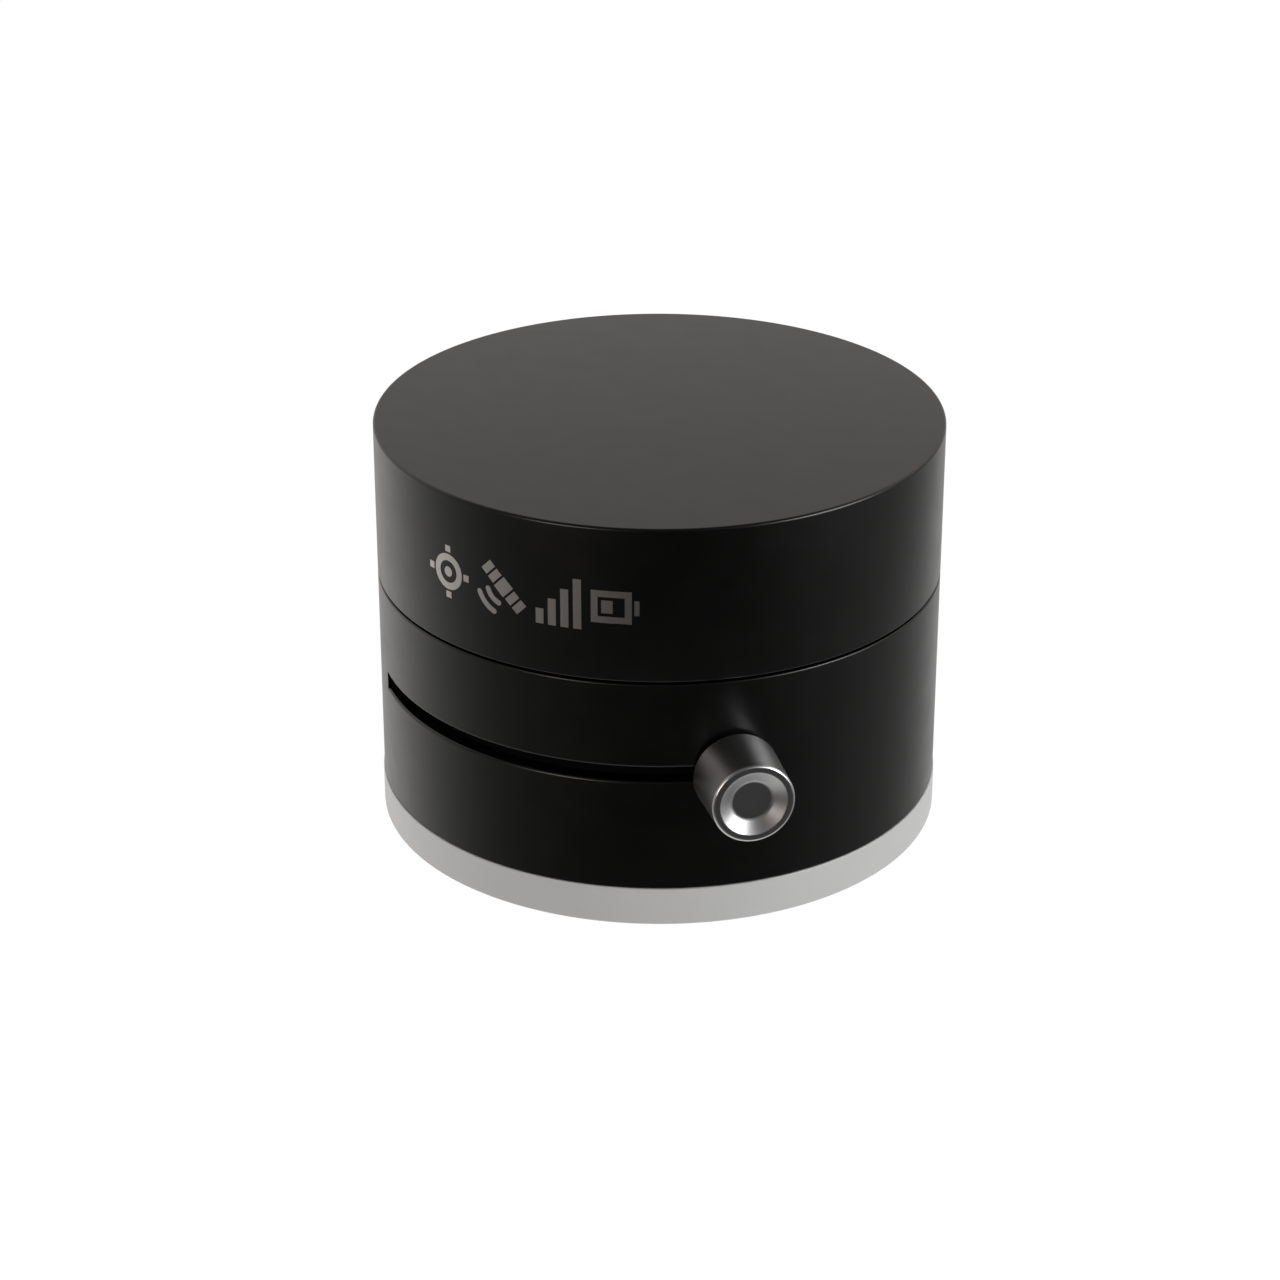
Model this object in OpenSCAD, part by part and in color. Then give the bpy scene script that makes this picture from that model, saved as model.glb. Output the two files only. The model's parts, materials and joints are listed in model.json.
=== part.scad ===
// Puck-shaped GNSS receiver on a quick-release mounting plate.
// Origin: centre of the pole thread, in the plane the plate rests on. +Z up, -Y is the front.
// Bearings are in degrees from the front (-Y), positive towards +X.

/* [Body] */
// Outer diameter of the receiver body
body_d = 120; // [118:0.5:124]
// Height of the whole instrument
total_h = 88.7; // [86:0.1:110]
// Thickness of the housing wall
wall = 3; // [2.8:0.1:3.2]
// Height of the parting line between housing and radome
seam_z = 55.25; // [55.2:0.05:56]
// Width of the groove at the parting line
seam_gap = 0.5; // [0.3:0.1:0.6]
// Rounding of the radome's top edge
edge_r = 0.6; // [0.4:0.1:1.5]

/* [Mounting plate] */
// Diameter of the mounting plate
base_d = 120.4; // [120:0.1:124]
// Height of the mounting plate's top face
base_h = 8.5; // [8.4:0.1:8.6]
// Rounding of the plate's rim
base_r = 0.3; // [0.2:0.1:1.2]
// Minor radius of the 5/8-11 pole thread
thread_r = 6.75; // [6.7:0.01:6.9]
// Radius of the wall-mounting bolt circle
bolt_pc_r = 30; // [28:0.5:31]
// Radius of a wall-mounting bolt hole
bolt_r = 3.3; // [2.7:0.1:3.4]

/* [Lock] */
// Height of the lever slot's centre line
slot_z = 34.75; // [33:0.05:35.5]
// Height of the lever slot
slot_h = 3.2; // [3:0.05:3.4]
// Bearing of the slot's left end
slot_from = -73.4; // [-76:0.1:-73]
// Bearing of the slot's right end
slot_to = 16.2; // [16:0.1:18]
// Bearing of the lever knob when the lock is open
knob_az = 14.4; // [13.5:0.1:14.5]
// Radius of the knob where it faces the body
knob_r1 = 8.9; // [8.6:0.05:9.4]
// Radius of the knob at its outer end
knob_r2 = 8.5; // [8:0.05:8.6]
// Distance of the knob's outer end from the centre axis
knob_end = 74.5; // [73.5:0.1:78]
// Angle the lock ring turns from open to locked
lock_travel = 86; // [80:1:86]

/* [Hidden] */
$fn = 96;
e = 0.5;
R = body_d / 2;
Ri = R - wall;
floor_t = 3.5;
floor_top = base_h + floor_t;
hous_top = seam_z - seam_gap / 2;
rad_bot = seam_z + seam_gap / 2;
boss_r = 16;            // plate's centre boss
foot_z = 0.2;           // the rubber ring and the insert hold the plate this far off the ground
stud_pc_r = 46;         // lock studs' pitch radius
stud_neck_r = 2.4;
stud_head_r = 4.5;
stud_az = [0, 120, 240];
flange_z0 = floor_top + 0.6;
flange_t = 2.5;
drum_ro = Ri - 0.6;
drum_ri = drum_ro - 2.8;
drum_top = 40.5;
tub_ro = 50.5;
tub_ri = 48.3;
tub_z0 = 19;            // top of the pillars that carry the tub
tub_floor = 21.2;
tub_flange = 48.8;
tub_top = 50.5;
cell_z = 31.6;
rs_r = 52.9;            // radome screws' pitch radius
post_az = [60, 150, 240, 330];
spacer_az = [20, 160, 200, 340];
port_x = -4.6;          // charging socket's offset from the rear centre line
board_z = 42;
board_t = 1.6;
comp_z = board_z + board_t;
port_z = 45.1;
button_az = 203;
knob_base = 60.86;
shaft_r = 1.45;
lna_z = 56.4;

// ---- helpers -------------------------------------------------------------

// turn a child that points along +X so that it points along a bearing
module at_az(a) { rotate([0, 0, a - 90]) children(); }

// a cylinder lying along +X from x0 to x1
module rod_x(r1, x0, x1, z = 0, r2 = -1) {
    translate([x0, 0, z]) rotate([0, 90, 0]) cylinder(h = x1 - x0, r1 = r1, r2 = r2 < 0 ? r1 : r2);
}

// what a rounding of radius r removes from the corner (x, y); sx, sy point out of the material
module round_cut(x, y, r, sx, sy) {
    difference() {
        translate([x - (sx > 0 ? r : e), y - (sy > 0 ? r : e)]) square([r + e, r + e]);
        translate([x - sx * r, y - sy * r]) circle(r);
    }
}

// what a chamfer of size c removes from the corner (x, y)
module bevel_cut(x, y, c, sx, sy) {
    polygon([[x - sx * c, y + sy * e], [x - sx * c, y], [x, y - sy * c], [x + sx * e, y - sy * c], [x + sx * e, y + sy * e]]);
}

module rect(x0, y0, x1, y1) { translate([x0, y0]) square([x1 - x0, y1 - y0]); }

module ring(r0, r1, z0, z1) { rotate_extrude() rect(r0, z0, r1, z1); }

// a sector of a revolved profile between two bearings
module arc_profile(a0, a1) { rotate([0, 0, a0 - 90]) rotate_extrude(angle = a1 - a0) children(); }

module box(x0, x1, y0, y1, z0, z1) { translate([x0, y0, z0]) cube([x1 - x0, y1 - y0, z1 - z0]); }

// pan-head screw with a hexagon socket, head up at z, shank down
module cap_screw(z, head_r, head_h, shank_r, len, hex_r) {
    difference() {
        union() {
            rotate_extrude() difference() {
                rect(0, z, head_r, z + head_h);
                round_cut(head_r, z + head_h, min(0.5, head_h * 0.4), 1, 1);
            }
            translate([0, 0, z - len]) cylinder(h = len + 0.01, r = shank_r);
        }
        translate([0, 0, z + head_h * 0.4]) cylinder(h = head_h, r = hex_r, $fn = 6);
    }
}

// countersunk screw, head down at z, shank up
module flat_screw(z, head_r, head_h, shank_r, len, hex_r) {
    difference() {
        union() {
            translate([0, 0, z]) cylinder(h = 0.4, r = head_r);
            translate([0, 0, z + 0.4]) cylinder(h = head_h, r1 = head_r, r2 = shank_r);
            translate([0, 0, z]) cylinder(h = len, r = shank_r);
        }
        translate([0, 0, z - e]) cylinder(h = e + 1.3, r = hex_r, $fn = 6);
    }
}

// ---- mounting plate (stays on the pole or the structure) --------------------

module mounting_plate() color([0.80, 0.79, 0.78]) {
    difference() {
        rotate_extrude($fn = 180) difference() {
            union() {
                rect(0, foot_z, base_d / 2, base_h);
                rect(0, base_h - 1, boss_r, 17);
            }
            round_cut(base_d / 2, base_h, base_r, 1, 1);
            round_cut(base_d / 2, foot_z, base_r, 1, -1);
            bevel_cut(boss_r, 17, 1.2, 1, 1);
            rect(-1, -1, 15.05, 1.65);                 // insert flange seat
            rect(-1, 1, 11.55, 15.05);                 // insert body seat
            rect(45.5, -1, 55.5, 1.6);                 // grip ring groove
            rect(51.9, base_h - 1.3, 54.6, base_h + 1); // gasket groove
            rect(21, base_h - 0.8, 24.5, base_h + 1);  // drain channel round the boss
            bevel_cut(51.9, base_h, 0.25, -1, 1);
            bevel_cut(54.6, base_h, 0.25, 1, 1);
        }
        // pockets that lighten the underside, between six ribs
        for (i = [0:5]) rotate([0, 0, i * 60 + 6])
            rotate_extrude(angle = 48) difference() {
                rect(18.5, -1, 24.2, 4.2);
                round_cut(24.2, 4.2, 1, 1, 1);
                round_cut(18.5, 4.2, 1, -1, 1);
            }
        for (i = [0:5]) rotate([0, 0, i * 60 + 40])
            rotate_extrude(angle = 40) difference() {
                rect(35.6, -1, 42.8, 4.2);
                round_cut(42.8, 4.2, 1, 1, 1);
                round_cut(35.6, 4.2, 1, -1, 1);
            }
        // wall-mounting bolt holes, counterbored from above
        for (a = [60, 180, 300]) at_az(a) translate([bolt_pc_r, 0, 0]) {
            translate([0, 0, -1]) cylinder(h = 20, r = bolt_r);
            translate([0, 0, 4.2]) cylinder(h = 10, r = 5.6);
        }
        // lock stud seats with their countersunk screws below
        for (a = stud_az) at_az(a) translate([stud_pc_r, 0, 0]) {
            translate([0, 0, 4.6]) cylinder(h = 10, r = 4.05);
            translate([0, 0, 1]) cylinder(h = 10, r = 2.05);
            translate([0, 0, 1.59]) cylinder(h = 0.8, r = 3.85);
            translate([0, 0, 2.38]) cylinder(h = 1.85, r1 = 3.85, r2 = 2.05);
        }
        // drain notches
        for (a = [0, 120, 240]) at_az(a + 30) translate([19, -1.25, base_h - 0.8]) cube([33, 2.5, 3]);
    }
}

module pole_thread_insert() color([0.80, 0.62, 0.30]) {
    difference() {
        rotate_extrude() difference() {
            union() {
                rect(thread_r, 0, 15, 1.6);
                rect(thread_r, 1.5, 11.5, 15);
            }
            round_cut(15, 0, 0.3, 1, -1);
            rect(10.9, 5, 12, 6);       // retention grooves
            rect(10.9, 9, 12, 10);
        }
        // spanner holes in the flange
        for (a = [0:90:270]) rotate([0, 0, a + 45]) translate([13, 0, -1]) cylinder(h = 1.9, r = 0.9);
    }
}

module lock_studs() color([0.72, 0.73, 0.75])
    for (a = stud_az) at_az(a) translate([stud_pc_r, 0, 0]) difference() {
        rotate_extrude() difference() {
            union() {
                rect(0, 4.6, 4, base_h);
                rect(0, base_h - 0.1, stud_neck_r, 17);
                rect(0, flange_z0 + flange_t + 0.25, stud_head_r, 18.3);
            }
            bevel_cut(stud_head_r, 18.3, 1.1, 1, 1);
            round_cut(stud_head_r, flange_z0 + flange_t + 0.25, 0.3, 1, -1);
            bevel_cut(4, base_h, 0.3, 1, 1);
        }
        translate([0, 0, 4]) cylinder(h = 8, r = 1.65);
        translate([0, 0, 17.3]) cylinder(h = 2, r = 1.45, $fn = 6);
    }

module stud_screws() color([0.35, 0.36, 0.38])
    for (a = stud_az) at_az(a) translate([stud_pc_r, 0, 0]) {
        flat_screw(1.75, 3.75, 1.9, 1.6, 9, 1.25);
    }

module grip_ring() color([0.16, 0.16, 0.17])
    difference() {
        rotate_extrude() difference() {
            rect(45.6, 0, 55.4, 1.6);
            round_cut(45.6, 0, 0.35, -1, -1);
            round_cut(55.4, 0, 0.35, 1, -1);
            for (r = [47.6:1.7:54.6]) translate([r, -0.05]) circle(0.45);
        }
        for (a = stud_az) at_az(a) translate([stud_pc_r, 0, -1]) cylinder(h = 4, r = 4.2);
    }

module seat_gasket() color([0.12, 0.12, 0.13])
    rotate_extrude() difference() {
        rect(52.1, base_h - 1.3, 54.4, base_h - 0.1);
        round_cut(52.1, base_h - 0.1, 0.6, -1, 1);
        round_cut(54.4, base_h - 0.1, 0.6, 1, 1);
    }

// ---- receiver shells ---------------------------------------------------------

module slot_profile() {
    rect(Ri - 1.5, slot_z - slot_h / 2, R + 1, slot_z + slot_h / 2);
    round_cut(R, slot_z + slot_h / 2, 0.6, 1, -1);
    round_cut(R, slot_z - slot_h / 2, 0.6, 1, 1);
}

// door recess and the pocket for its hinge knuckle
door_a0 = 165;          // hinge side
door_a1 = 191;
door_z0 = 41.5;
door_z1 = 48.7;
pin_r0 = R - 1.25;      // pin axis distance from the centre
module at_pin() { at_az(door_a0) translate([pin_r0, 0, 0]) children(); }

module housing() color([0.055, 0.055, 0.06]) {
    difference() {
        union() {
            rotate_extrude($fn = 180) difference() {
                union() {
                    rect(Ri, base_h, R, hous_top);
                    rect(boss_r + 0.35, base_h, Ri + 0.1, floor_top);
                }
                round_cut(R, hous_top, 0.38, 1, 1);
                round_cut(Ri, hous_top, 0.4, -1, 1);
                round_cut(R, base_h, 0.3, 1, -1);
                bevel_cut(boss_r + 0.35, base_h, 0.8, -1, -1);
                rect(Ri - 0.1, 40.65, Ri + 0.55, 41.6);   // snap ring groove
            }
            // pillars that carry the electronics tub
            for (a = [0, 120, 240]) at_az(a) translate([28, 0, floor_top - 0.1]) cylinder(h = tub_z0 - floor_top + 0.1, r = 4.2);
            // stiffening ribs on the floor
            for (a = [0:60:300]) at_az(a + 30) translate([boss_r + 4, -0.9, floor_top - 0.1]) cube([14, 1.8, 4.2]);
            ring(boss_r + 0.35, boss_r + 2.4, floor_top - 0.1, 17.6);
            // thicker wall behind the door's hinge
            arc_profile(160.5, 168.4) rect(Ri - 1.6, 42.2, Ri + 0.1, 48.6);
        }
        arc_profile(slot_from, slot_to) slot_profile();
        // lock stud passages
        for (a = stud_az) at_az(a) translate([stud_pc_r, 0, 0]) {
            translate([0, 0, base_h - 1]) cylinder(h = 6, r = 5.3);
            translate([0, 0, base_h - 0.01]) cylinder(h = 0.8, r1 = 6.1, r2 = 5.3);
        }
        // counterbores for the tub's fixing screws
        for (a = [0, 120, 240]) at_az(a) translate([28, 0, 0]) {
            translate([0, 0, base_h - 1]) cylinder(h = 4.4, r = 3.1);
            translate([0, 0, base_h]) cylinder(h = 14, r = 1.7);
        }
        // detent plunger seat
        at_az(75) translate([43, 0, base_h + 0.6]) cylinder(h = 8, r = 2.02);
        at_az(75) translate([43, 0, base_h - 1]) cylinder(h = 3, r = 1.0);
        // port window, door recess and hinge pocket
        box(-11, 11, 50, 60.5, 42.35, 47.85);
        arc_profile(door_a0 - 1.75, door_a1 + 0.25) rect(R - 1.85, door_z0 - 0.25, R + 1, door_z1 + 0.25);
        at_pin() translate([0, 0, door_z0 - 0.4]) cylinder(h = door_z1 - door_z0 + 0.8, r = 1.5);
        at_pin() translate([0, 0, door_z0 - 1.6]) cylinder(h = 20, r = 0.52);
        // finger scoop at the door's free edge
        at_az(door_a1 + 1.6) translate([R + 1.1, 0, port_z]) rotate([0, 90, 0]) sphere(r = 3.1);
        // power button and status lenses
        at_az(button_az) rod_x(3.4, Ri - 2, R + 2, port_z);
        for (i = [0:2]) at_az(button_az + 9 + i * 3.6) rod_x(1.02, Ri - 2, R + 2, port_z);
    }
}

module radome() color([0.075, 0.075, 0.078]) {
    difference() {
        union() {
            rotate_extrude($fn = 180) difference() {
                union() {
                    rect(0, rad_bot, R, total_h);
                    rect(54.3, 50.6, 56.8, rad_bot + 1);
                }
                round_cut(R, total_h, edge_r, 1, 1);
                round_cut(R, rad_bot, 0.38, 1, -1);
                difference() { rect(-1, rad_bot - 1, R - 2.6, total_h - 2.6); round_cut(R - 2.6, total_h - 2.6, 3, 1, 1); rect(54.3, 50, 57.5, 59); }
                rect(55.35, 52.3, 57, 54.3);               // O-ring groove
                bevel_cut(56.8, 50.6, 0.4, 1, -1);
            }
            // screw bosses
            for (i = [0:5]) at_az(i * 60 + 30) translate([rs_r, 0, 50.75]) cylinder(h = 14, r = 2.4);
            // stiffening ribs under the top
            for (i = [0:5]) at_az(i * 60) translate([16, -0.7, total_h - 5]) cube([40, 1.4, 3]);
            ring(14.5, 16.5, total_h - 5, total_h - 2.5);
        }
        for (i = [0:5]) at_az(i * 60 + 30) translate([rs_r, 0, 50]) cylinder(h = 10, r = 1.25);
    }
}

module glide_ring() color([0.88, 0.87, 0.84])
    rotate_extrude() difference() {
        rect(51.8, floor_top, 56.2, flange_z0 - 0.1);
        bevel_cut(51.8, flange_z0 - 0.1, 0.15, -1, 1);
    }

module retaining_ring() color([0.30, 0.31, 0.33])
    difference() {
        ring(54, Ri + 0.45, 40.75, 41.5);
        at_az(180) translate([50, -7, 40]) cube([10, 14, 3]);
        for (s = [-1, 1]) at_az(180 + s * 9.3) translate([55.6, 0, 40]) cylinder(h = 3, r = 0.7);
    }

module detent_plunger() color([0.66, 0.67, 0.69])
    at_az(75) translate([43, 0, 0]) union() {
        translate([0, 0, base_h + 0.6]) cylinder(h = 3.0, r = 1.98);
        intersection() {
            translate([0, 0, flange_z0 - 0.6]) sphere(r = 1.1);
            translate([0, 0, floor_top - 0.5]) cylinder(h = 5, r = 2);
        }
    }

module housing_screws() color([0.35, 0.36, 0.38])
    for (a = [0, 120, 240]) at_az(a) translate([28, 0, 0]) difference() {
        rotate_extrude() difference() {
            union() {
                rect(0, 9.3, 2.75, 11.85);
                rect(0, 11.8, 1.5, 21.7);
            }
            round_cut(2.75, 9.3, 0.4, 1, -1);
        }
        translate([0, 0, 9]) cylinder(h = 1.9, r = 1.45, $fn = 6);
    }

// ---- electronics tub -----------------------------------------------------------

module electronics_tub() color([0.13, 0.135, 0.14]) {
    difference() {
        union() {
            rotate_extrude() difference() {
                union() {
                    rect(0, tub_z0 + 0.05, tub_ro, tub_floor);
                    rect(tub_ri, tub_z0 + 0.05, tub_ro, tub_top);
                    rect(tub_ri, tub_flange, Ri - 0.3, tub_top);
                }
                round_cut(tub_ro, tub_z0 + 0.05, 1.5, 1, -1);
                rect(55.8, 49.1, 58, 50.2);                // O-ring groove
            }
            for (a = [0, 120, 240]) at_az(a) translate([28, 0, tub_floor - 0.1]) cylinder(h = 1.1, r = 3.6);
            for (a = spacer_az) rotate([0, 0, a]) translate([43.5, 0, tub_floor - 0.1]) cylinder(h = 3, r = 3.4);
            for (a = post_az) rotate([0, 0, a]) translate([46.6, 0, tub_floor - 0.1]) cylinder(h = tub_top - tub_floor + 0.1, r = 2.3);
        }
        for (a = [0, 120, 240]) at_az(a) translate([28, 0, tub_z0 - 1]) cylinder(h = 3.8, r = 1.55);
        for (a = [0, 120, 240]) at_az(a) translate([28, 0, tub_z0 - 0.1]) rotate_extrude() rect(2.2, 0, 3.9, 0.95);
        for (i = [0:5]) at_az(i * 60 + 30) translate([rs_r, 0, 47]) cylinder(h = 5, r = 1.4);
        // openings for the port bezel, the button stem and the light guides
        box(-10.95, 10.95, 45, 56, 42.45, 47.75);
        at_az(button_az) rod_x(2.05, 44, 57, port_z);
        for (i = [0:2]) at_az(button_az + 9 + i * 3.6) rod_x(1.0, 44, 57, port_z);
        for (a = spacer_az) rotate([0, 0, a]) translate([43.5, 0, tub_floor - 0.8]) cylinder(h = 6, r = 1.3);
        for (a = post_az) rotate([0, 0, a]) translate([46.6, 0, tub_top - 6]) cylinder(h = 8, r = 1.05);
    }
}

module tub_oring() color([0.10, 0.10, 0.11])
    translate([0, 0, 49.65]) rotate_extrude($fn = 180) translate([56.38, 0]) circle(0.52);

module pillar_orings() color([0.10, 0.10, 0.11])
    for (a = [0, 120, 240]) at_az(a) translate([28, 0, tub_z0 + 0.43]) rotate_extrude() translate([3.05, 0]) circle(0.4);

module radome_screws() color([0.60, 0.61, 0.63])
    for (i = [0:5]) at_az(i * 60 + 30) translate([rs_r, 0, 0]) rotate([180, 0, 0])
        cap_screw(-tub_flange, 2.1, 1.8, 1.2, 10.5, 1.0);

module radome_oring() color([0.10, 0.10, 0.11])
    translate([0, 0, 53.3]) rotate_extrude($fn = 180) translate([56.15, 0]) circle(0.78);

module ground_plate() color([0.78, 0.79, 0.80])
    difference() {
        rotate_extrude() difference() {
            rect(0, tub_top, 50.2, 52);
            bevel_cut(50.2, 52, 0.3, 1, 1);
        }
        for (a = post_az) rotate([0, 0, a]) translate([46.6, 0, 50]) cylinder(h = 3, r = 1.15);
        translate([-24, -16, 50]) cylinder(h = 3, r = 3.4);
        for (i = [0:3]) rotate([0, 0, i * 90 + 20]) translate([40.4, 0, 50]) cylinder(h = 3, r = 1.25);
    }

module ground_plate_screws() color([0.60, 0.61, 0.63])
    for (a = post_az) rotate([0, 0, a]) translate([46.6, 0, 0]) cap_screw(52, 1.9, 1.3, 1.0, 6.5, 0.8);

// ---- antenna ---------------------------------------------------------------------

module lna_board() color([0.05, 0.30, 0.16])
    difference() {
        translate([0, 0, lna_z]) cylinder(h = board_t, r = 47);
        for (i = [0:3]) rotate([0, 0, i * 90 + 20]) translate([40.4, 0, lna_z - 1]) cylinder(h = 4, r = 1.15);
        for (i = [0:5]) rotate([0, 0, i * 60]) translate([44.5, 0, lna_z - 1]) cylinder(h = 4, r = 1.15);
        for (a = [45:90:315]) rotate([0, 0, a]) translate([11, 0, lna_z - 1]) cylinder(h = 4, r = 0.75);
    }

module lna_standoffs() color([0.80, 0.66, 0.34])
    for (i = [0:3]) rotate([0, 0, i * 90 + 20]) translate([40.4, 0, 0]) difference() {
        union() {
            translate([0, 0, 52]) cylinder(h = lna_z - 52, r = 2.3, $fn = 6);
            translate([0, 0, 50.6]) cylinder(h = 2, r = 1.2);
        }
        translate([0, 0, lna_z - 3.6]) cylinder(h = 5, r = 1.05);
    }

module lna_screws() color([0.60, 0.61, 0.63])
    for (i = [0:3]) rotate([0, 0, i * 90 + 20]) translate([40.4, 0, 0]) cap_screw(lna_z + board_t, 1.8, 1.3, 1.0, 4.6, 0.8);

module lna_shield() color([0.70, 0.71, 0.72])
    difference() {
        box(-15, 15, -14.5, 14.5, lna_z - 3, lna_z);
        box(-14.7, 14.7, -14.2, 14.2, lna_z - 2.7, lna_z + 1);
        for (x = [-9:6:9], y = [-9:6:9]) translate([x, y, lna_z - 4]) cylinder(h = 2, r = 0.8);
    }

module patch_lower() color([0.86, 0.83, 0.74])
    difference() {
        rotate_extrude() difference() {
            rect(0, lna_z + board_t, 37, lna_z + board_t + 6);
            bevel_cut(37, lna_z + board_t + 6, 0.4, 1, 1);
        }
        for (a = [45:90:315]) rotate([0, 0, a]) translate([11, 0, lna_z]) cylinder(h = 10, r = 0.75);
        rotate_extrude() rect(33.5, lna_z + board_t + 5.8, 34.2, lna_z + board_t + 7);
    }

module patch_upper() color([0.84, 0.80, 0.70])
    difference() {
        rotate_extrude() difference() {
            rect(0, lna_z + board_t + 6, 25, lna_z + board_t + 11);
            bevel_cut(25, lna_z + board_t + 11, 0.4, 1, 1);
        }
        for (a = [45:90:315]) rotate([0, 0, a]) translate([11, 0, lna_z]) cylinder(h = 20, r = 0.75);
        rotate_extrude() rect(21.5, lna_z + board_t + 10.8, 22.2, lna_z + board_t + 12);
    }

module patch_feed_pins() color([0.83, 0.68, 0.33])
    for (a = [45:90:315]) rotate([0, 0, a]) translate([11, 0, 0]) union() {
        translate([0, 0, lna_z - 0.6]) cylinder(h = board_t + 11.6, r = 0.65);
        translate([0, 0, lna_z + board_t + 11]) cylinder(h = 0.5, r = 1.5);
    }

module choke_ring() color([0.76, 0.77, 0.78])
    difference() {
        union() {
            ring(43, 50, lna_z + board_t, lna_z + board_t + 1);
            ring(49.2, 50, lna_z + board_t, 76);
        }
        // finger gaps
        for (i = [0:29]) rotate([0, 0, i * 12 + 6]) translate([48, -1.1, lna_z + board_t + 4]) cube([4, 2.2, 30]);
        for (i = [0:5]) rotate([0, 0, i * 60]) translate([44.5, 0, lna_z]) cylinder(h = 4, r = 1.15);
    }

module choke_screws() color([0.60, 0.61, 0.63])
    for (i = [0:5]) rotate([0, 0, i * 60]) translate([44.5, 0, 0]) cap_screw(lna_z + board_t + 1, 1.9, 1.3, 1.0, 4, 0.8);

module wireless_antenna() color([0.75, 0.45, 0.12])
    difference() {
        arc_profile(-35, 35) rect(R - 2.95, 66, R - 2.65, 78);
        arc_profile(-31, 20) rect(R - 4, 69, R, 70);
        arc_profile(-20, 31) rect(R - 4, 72, R, 73);
        arc_profile(-31, 20) rect(R - 4, 75, R, 76);
    }

module antenna_coax() color([0.80, 0.66, 0.34])
    translate([-24, -16, 0]) union() {
        translate([0, 0, comp_z]) cylinder(h = 3, r = 2.6);
        translate([0, 0, comp_z + 3]) cylinder(h = lna_z - comp_z - 6, r = 1.1);
        translate([0, 0, lna_z - 3]) cylinder(h = 3, r = 2.6);
        translate([0, 0, comp_z + 3]) cylinder(h = 1.2, r1 = 2.2, r2 = 1.1);
    }

// ---- electronics in the tub --------------------------------------------------------

module main_board() color([0.04, 0.22, 0.36])
    difference() {
        translate([0, 0, board_z]) cylinder(h = board_t, r = 47.2);
        for (a = spacer_az) rotate([0, 0, a]) translate([43.5, 0, board_z - 1]) cylinder(h = 4, r = 1.3);
        // notches for the tub's screw posts, the battery lead and the button's clip
        for (a = post_az) rotate([0, 0, a]) translate([46.6, 0, board_z - 1]) cylinder(h = 4, r = 2.7);
        box(-50, -36, 25.2, 28.8, board_z - 1, board_z + 3);
        at_az(button_az) box(46.0, 48, -2.3, 2.3, board_z - 1, board_z + 3);
    }

module board_spacers() color([0.80, 0.66, 0.34])
    for (a = spacer_az) rotate([0, 0, a]) translate([43.5, 0, 0]) difference() {
        union() {
            translate([0, 0, tub_floor + 2.9]) cylinder(h = board_z - tub_floor - 2.9, r = 2.9, $fn = 6);
            translate([0, 0, tub_floor - 0.6]) cylinder(h = 4, r = 1.25);
        }
        translate([0, 0, board_z - 7]) cylinder(h = 8, r = 1.15);
    }

module board_screws() color([0.60, 0.61, 0.63])
    for (a = spacer_az) rotate([0, 0, a]) translate([43.5, 0, 0]) cap_screw(comp_z, 2.3, 1.5, 1.1, 6, 0.9);

module gnss_module() color([0.74, 0.75, 0.76])
    difference() {
        box(-8, 24, -30, -6, comp_z, comp_z + 3.2);
        for (x = [-4:4:20], y = [-26:4:-10]) translate([x, y, comp_z + 2.9]) cylinder(h = 2, r = 0.7);
    }

module modem_module() color([0.70, 0.71, 0.73])
    difference() {
        box(-34, -6, 4, 24, comp_z, comp_z + 2.6);
        box(-30, -10, 8, 20, comp_z + 2.35, comp_z + 4);
    }

module board_chips() color([0.10, 0.10, 0.11]) {
    box(4, 18, 2, 16, comp_z, comp_z + 1.4);
    box(22, 32, 4, 12, comp_z, comp_z + 1.2);
    box(27, 33, -18, -10, comp_z, comp_z + 1.0);
    box(-32, -26, -6, 0, comp_z, comp_z + 1.2);
    box(-20, -12, -8, -2, comp_z, comp_z + 1.1);
    for (i = [0:5]) box(-4 + i * 3.4, -2.4 + i * 3.4, 19, 21.6, comp_z, comp_z + 1.2);
    for (i = [0:3]) translate([26, 16 + i * 4.4, comp_z]) cylinder(h = 4, r = 1.9);
    for (i = [0:4]) box(-30 + i * 3, -28.6 + i * 3, -30, -28, comp_z, comp_z + 0.9);
}

module usb_socket() color([0.74, 0.75, 0.77])
    difference() {
        translate([port_x, 0, port_z + 0.1]) union() {
            box(-2.92, 2.92, 47.6, 55.3, -1.6, 1.6);
            for (s = [-1, 1]) translate([s * 2.92, 47.6, 0]) rotate([-90, 0, 0]) cylinder(h = 7.7, r = 1.6);
            box(-3.6, 3.6, 40.5, 47.7, -1.6, 1.5);
        }
        translate([port_x, 0, port_z + 0.1]) {
            box(-2.92, 2.92, 48.8, 56, -1.3, 1.3);
            for (s = [-1, 1]) translate([s * 2.92, 48.8, 0]) rotate([-90, 0, 0]) cylinder(h = 8, r = 1.3);
        }
    }

module sim_socket() color([0.66, 0.67, 0.69])
    difference() {
        box(0.6, 10.6, 31, 46.5, comp_z, comp_z + 2.1);
        box(1.1, 10.1, 33.5, 48, port_z - 0.5, port_z + 0.3);
    }

module power_switch() color([0.12, 0.12, 0.13])
    at_az(button_az) union() {
        translate([39.5, -3, comp_z]) cube([5.2, 6, 3]);
        rod_x(1.0, 44.6, 45.6, port_z);
    }

module battery_cells() color([0.16, 0.36, 0.55])
    for (i = [-1:1]) translate([i * 18.8, 0, cell_z]) rotate([-90, 0, 0]) rotate_extrude() difference() {
        union() {
            rect(0, -32.5, 9.1, 31.8);
            rect(0, 31.5, 3.4, 32.5);
        }
        round_cut(9.1, 31.8, 0.6, 1, 1);
        round_cut(9.1, -32.5, 0.6, 1, -1);
        rect(8.75, 28.6, 9.3, 29.4);
    }

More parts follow.
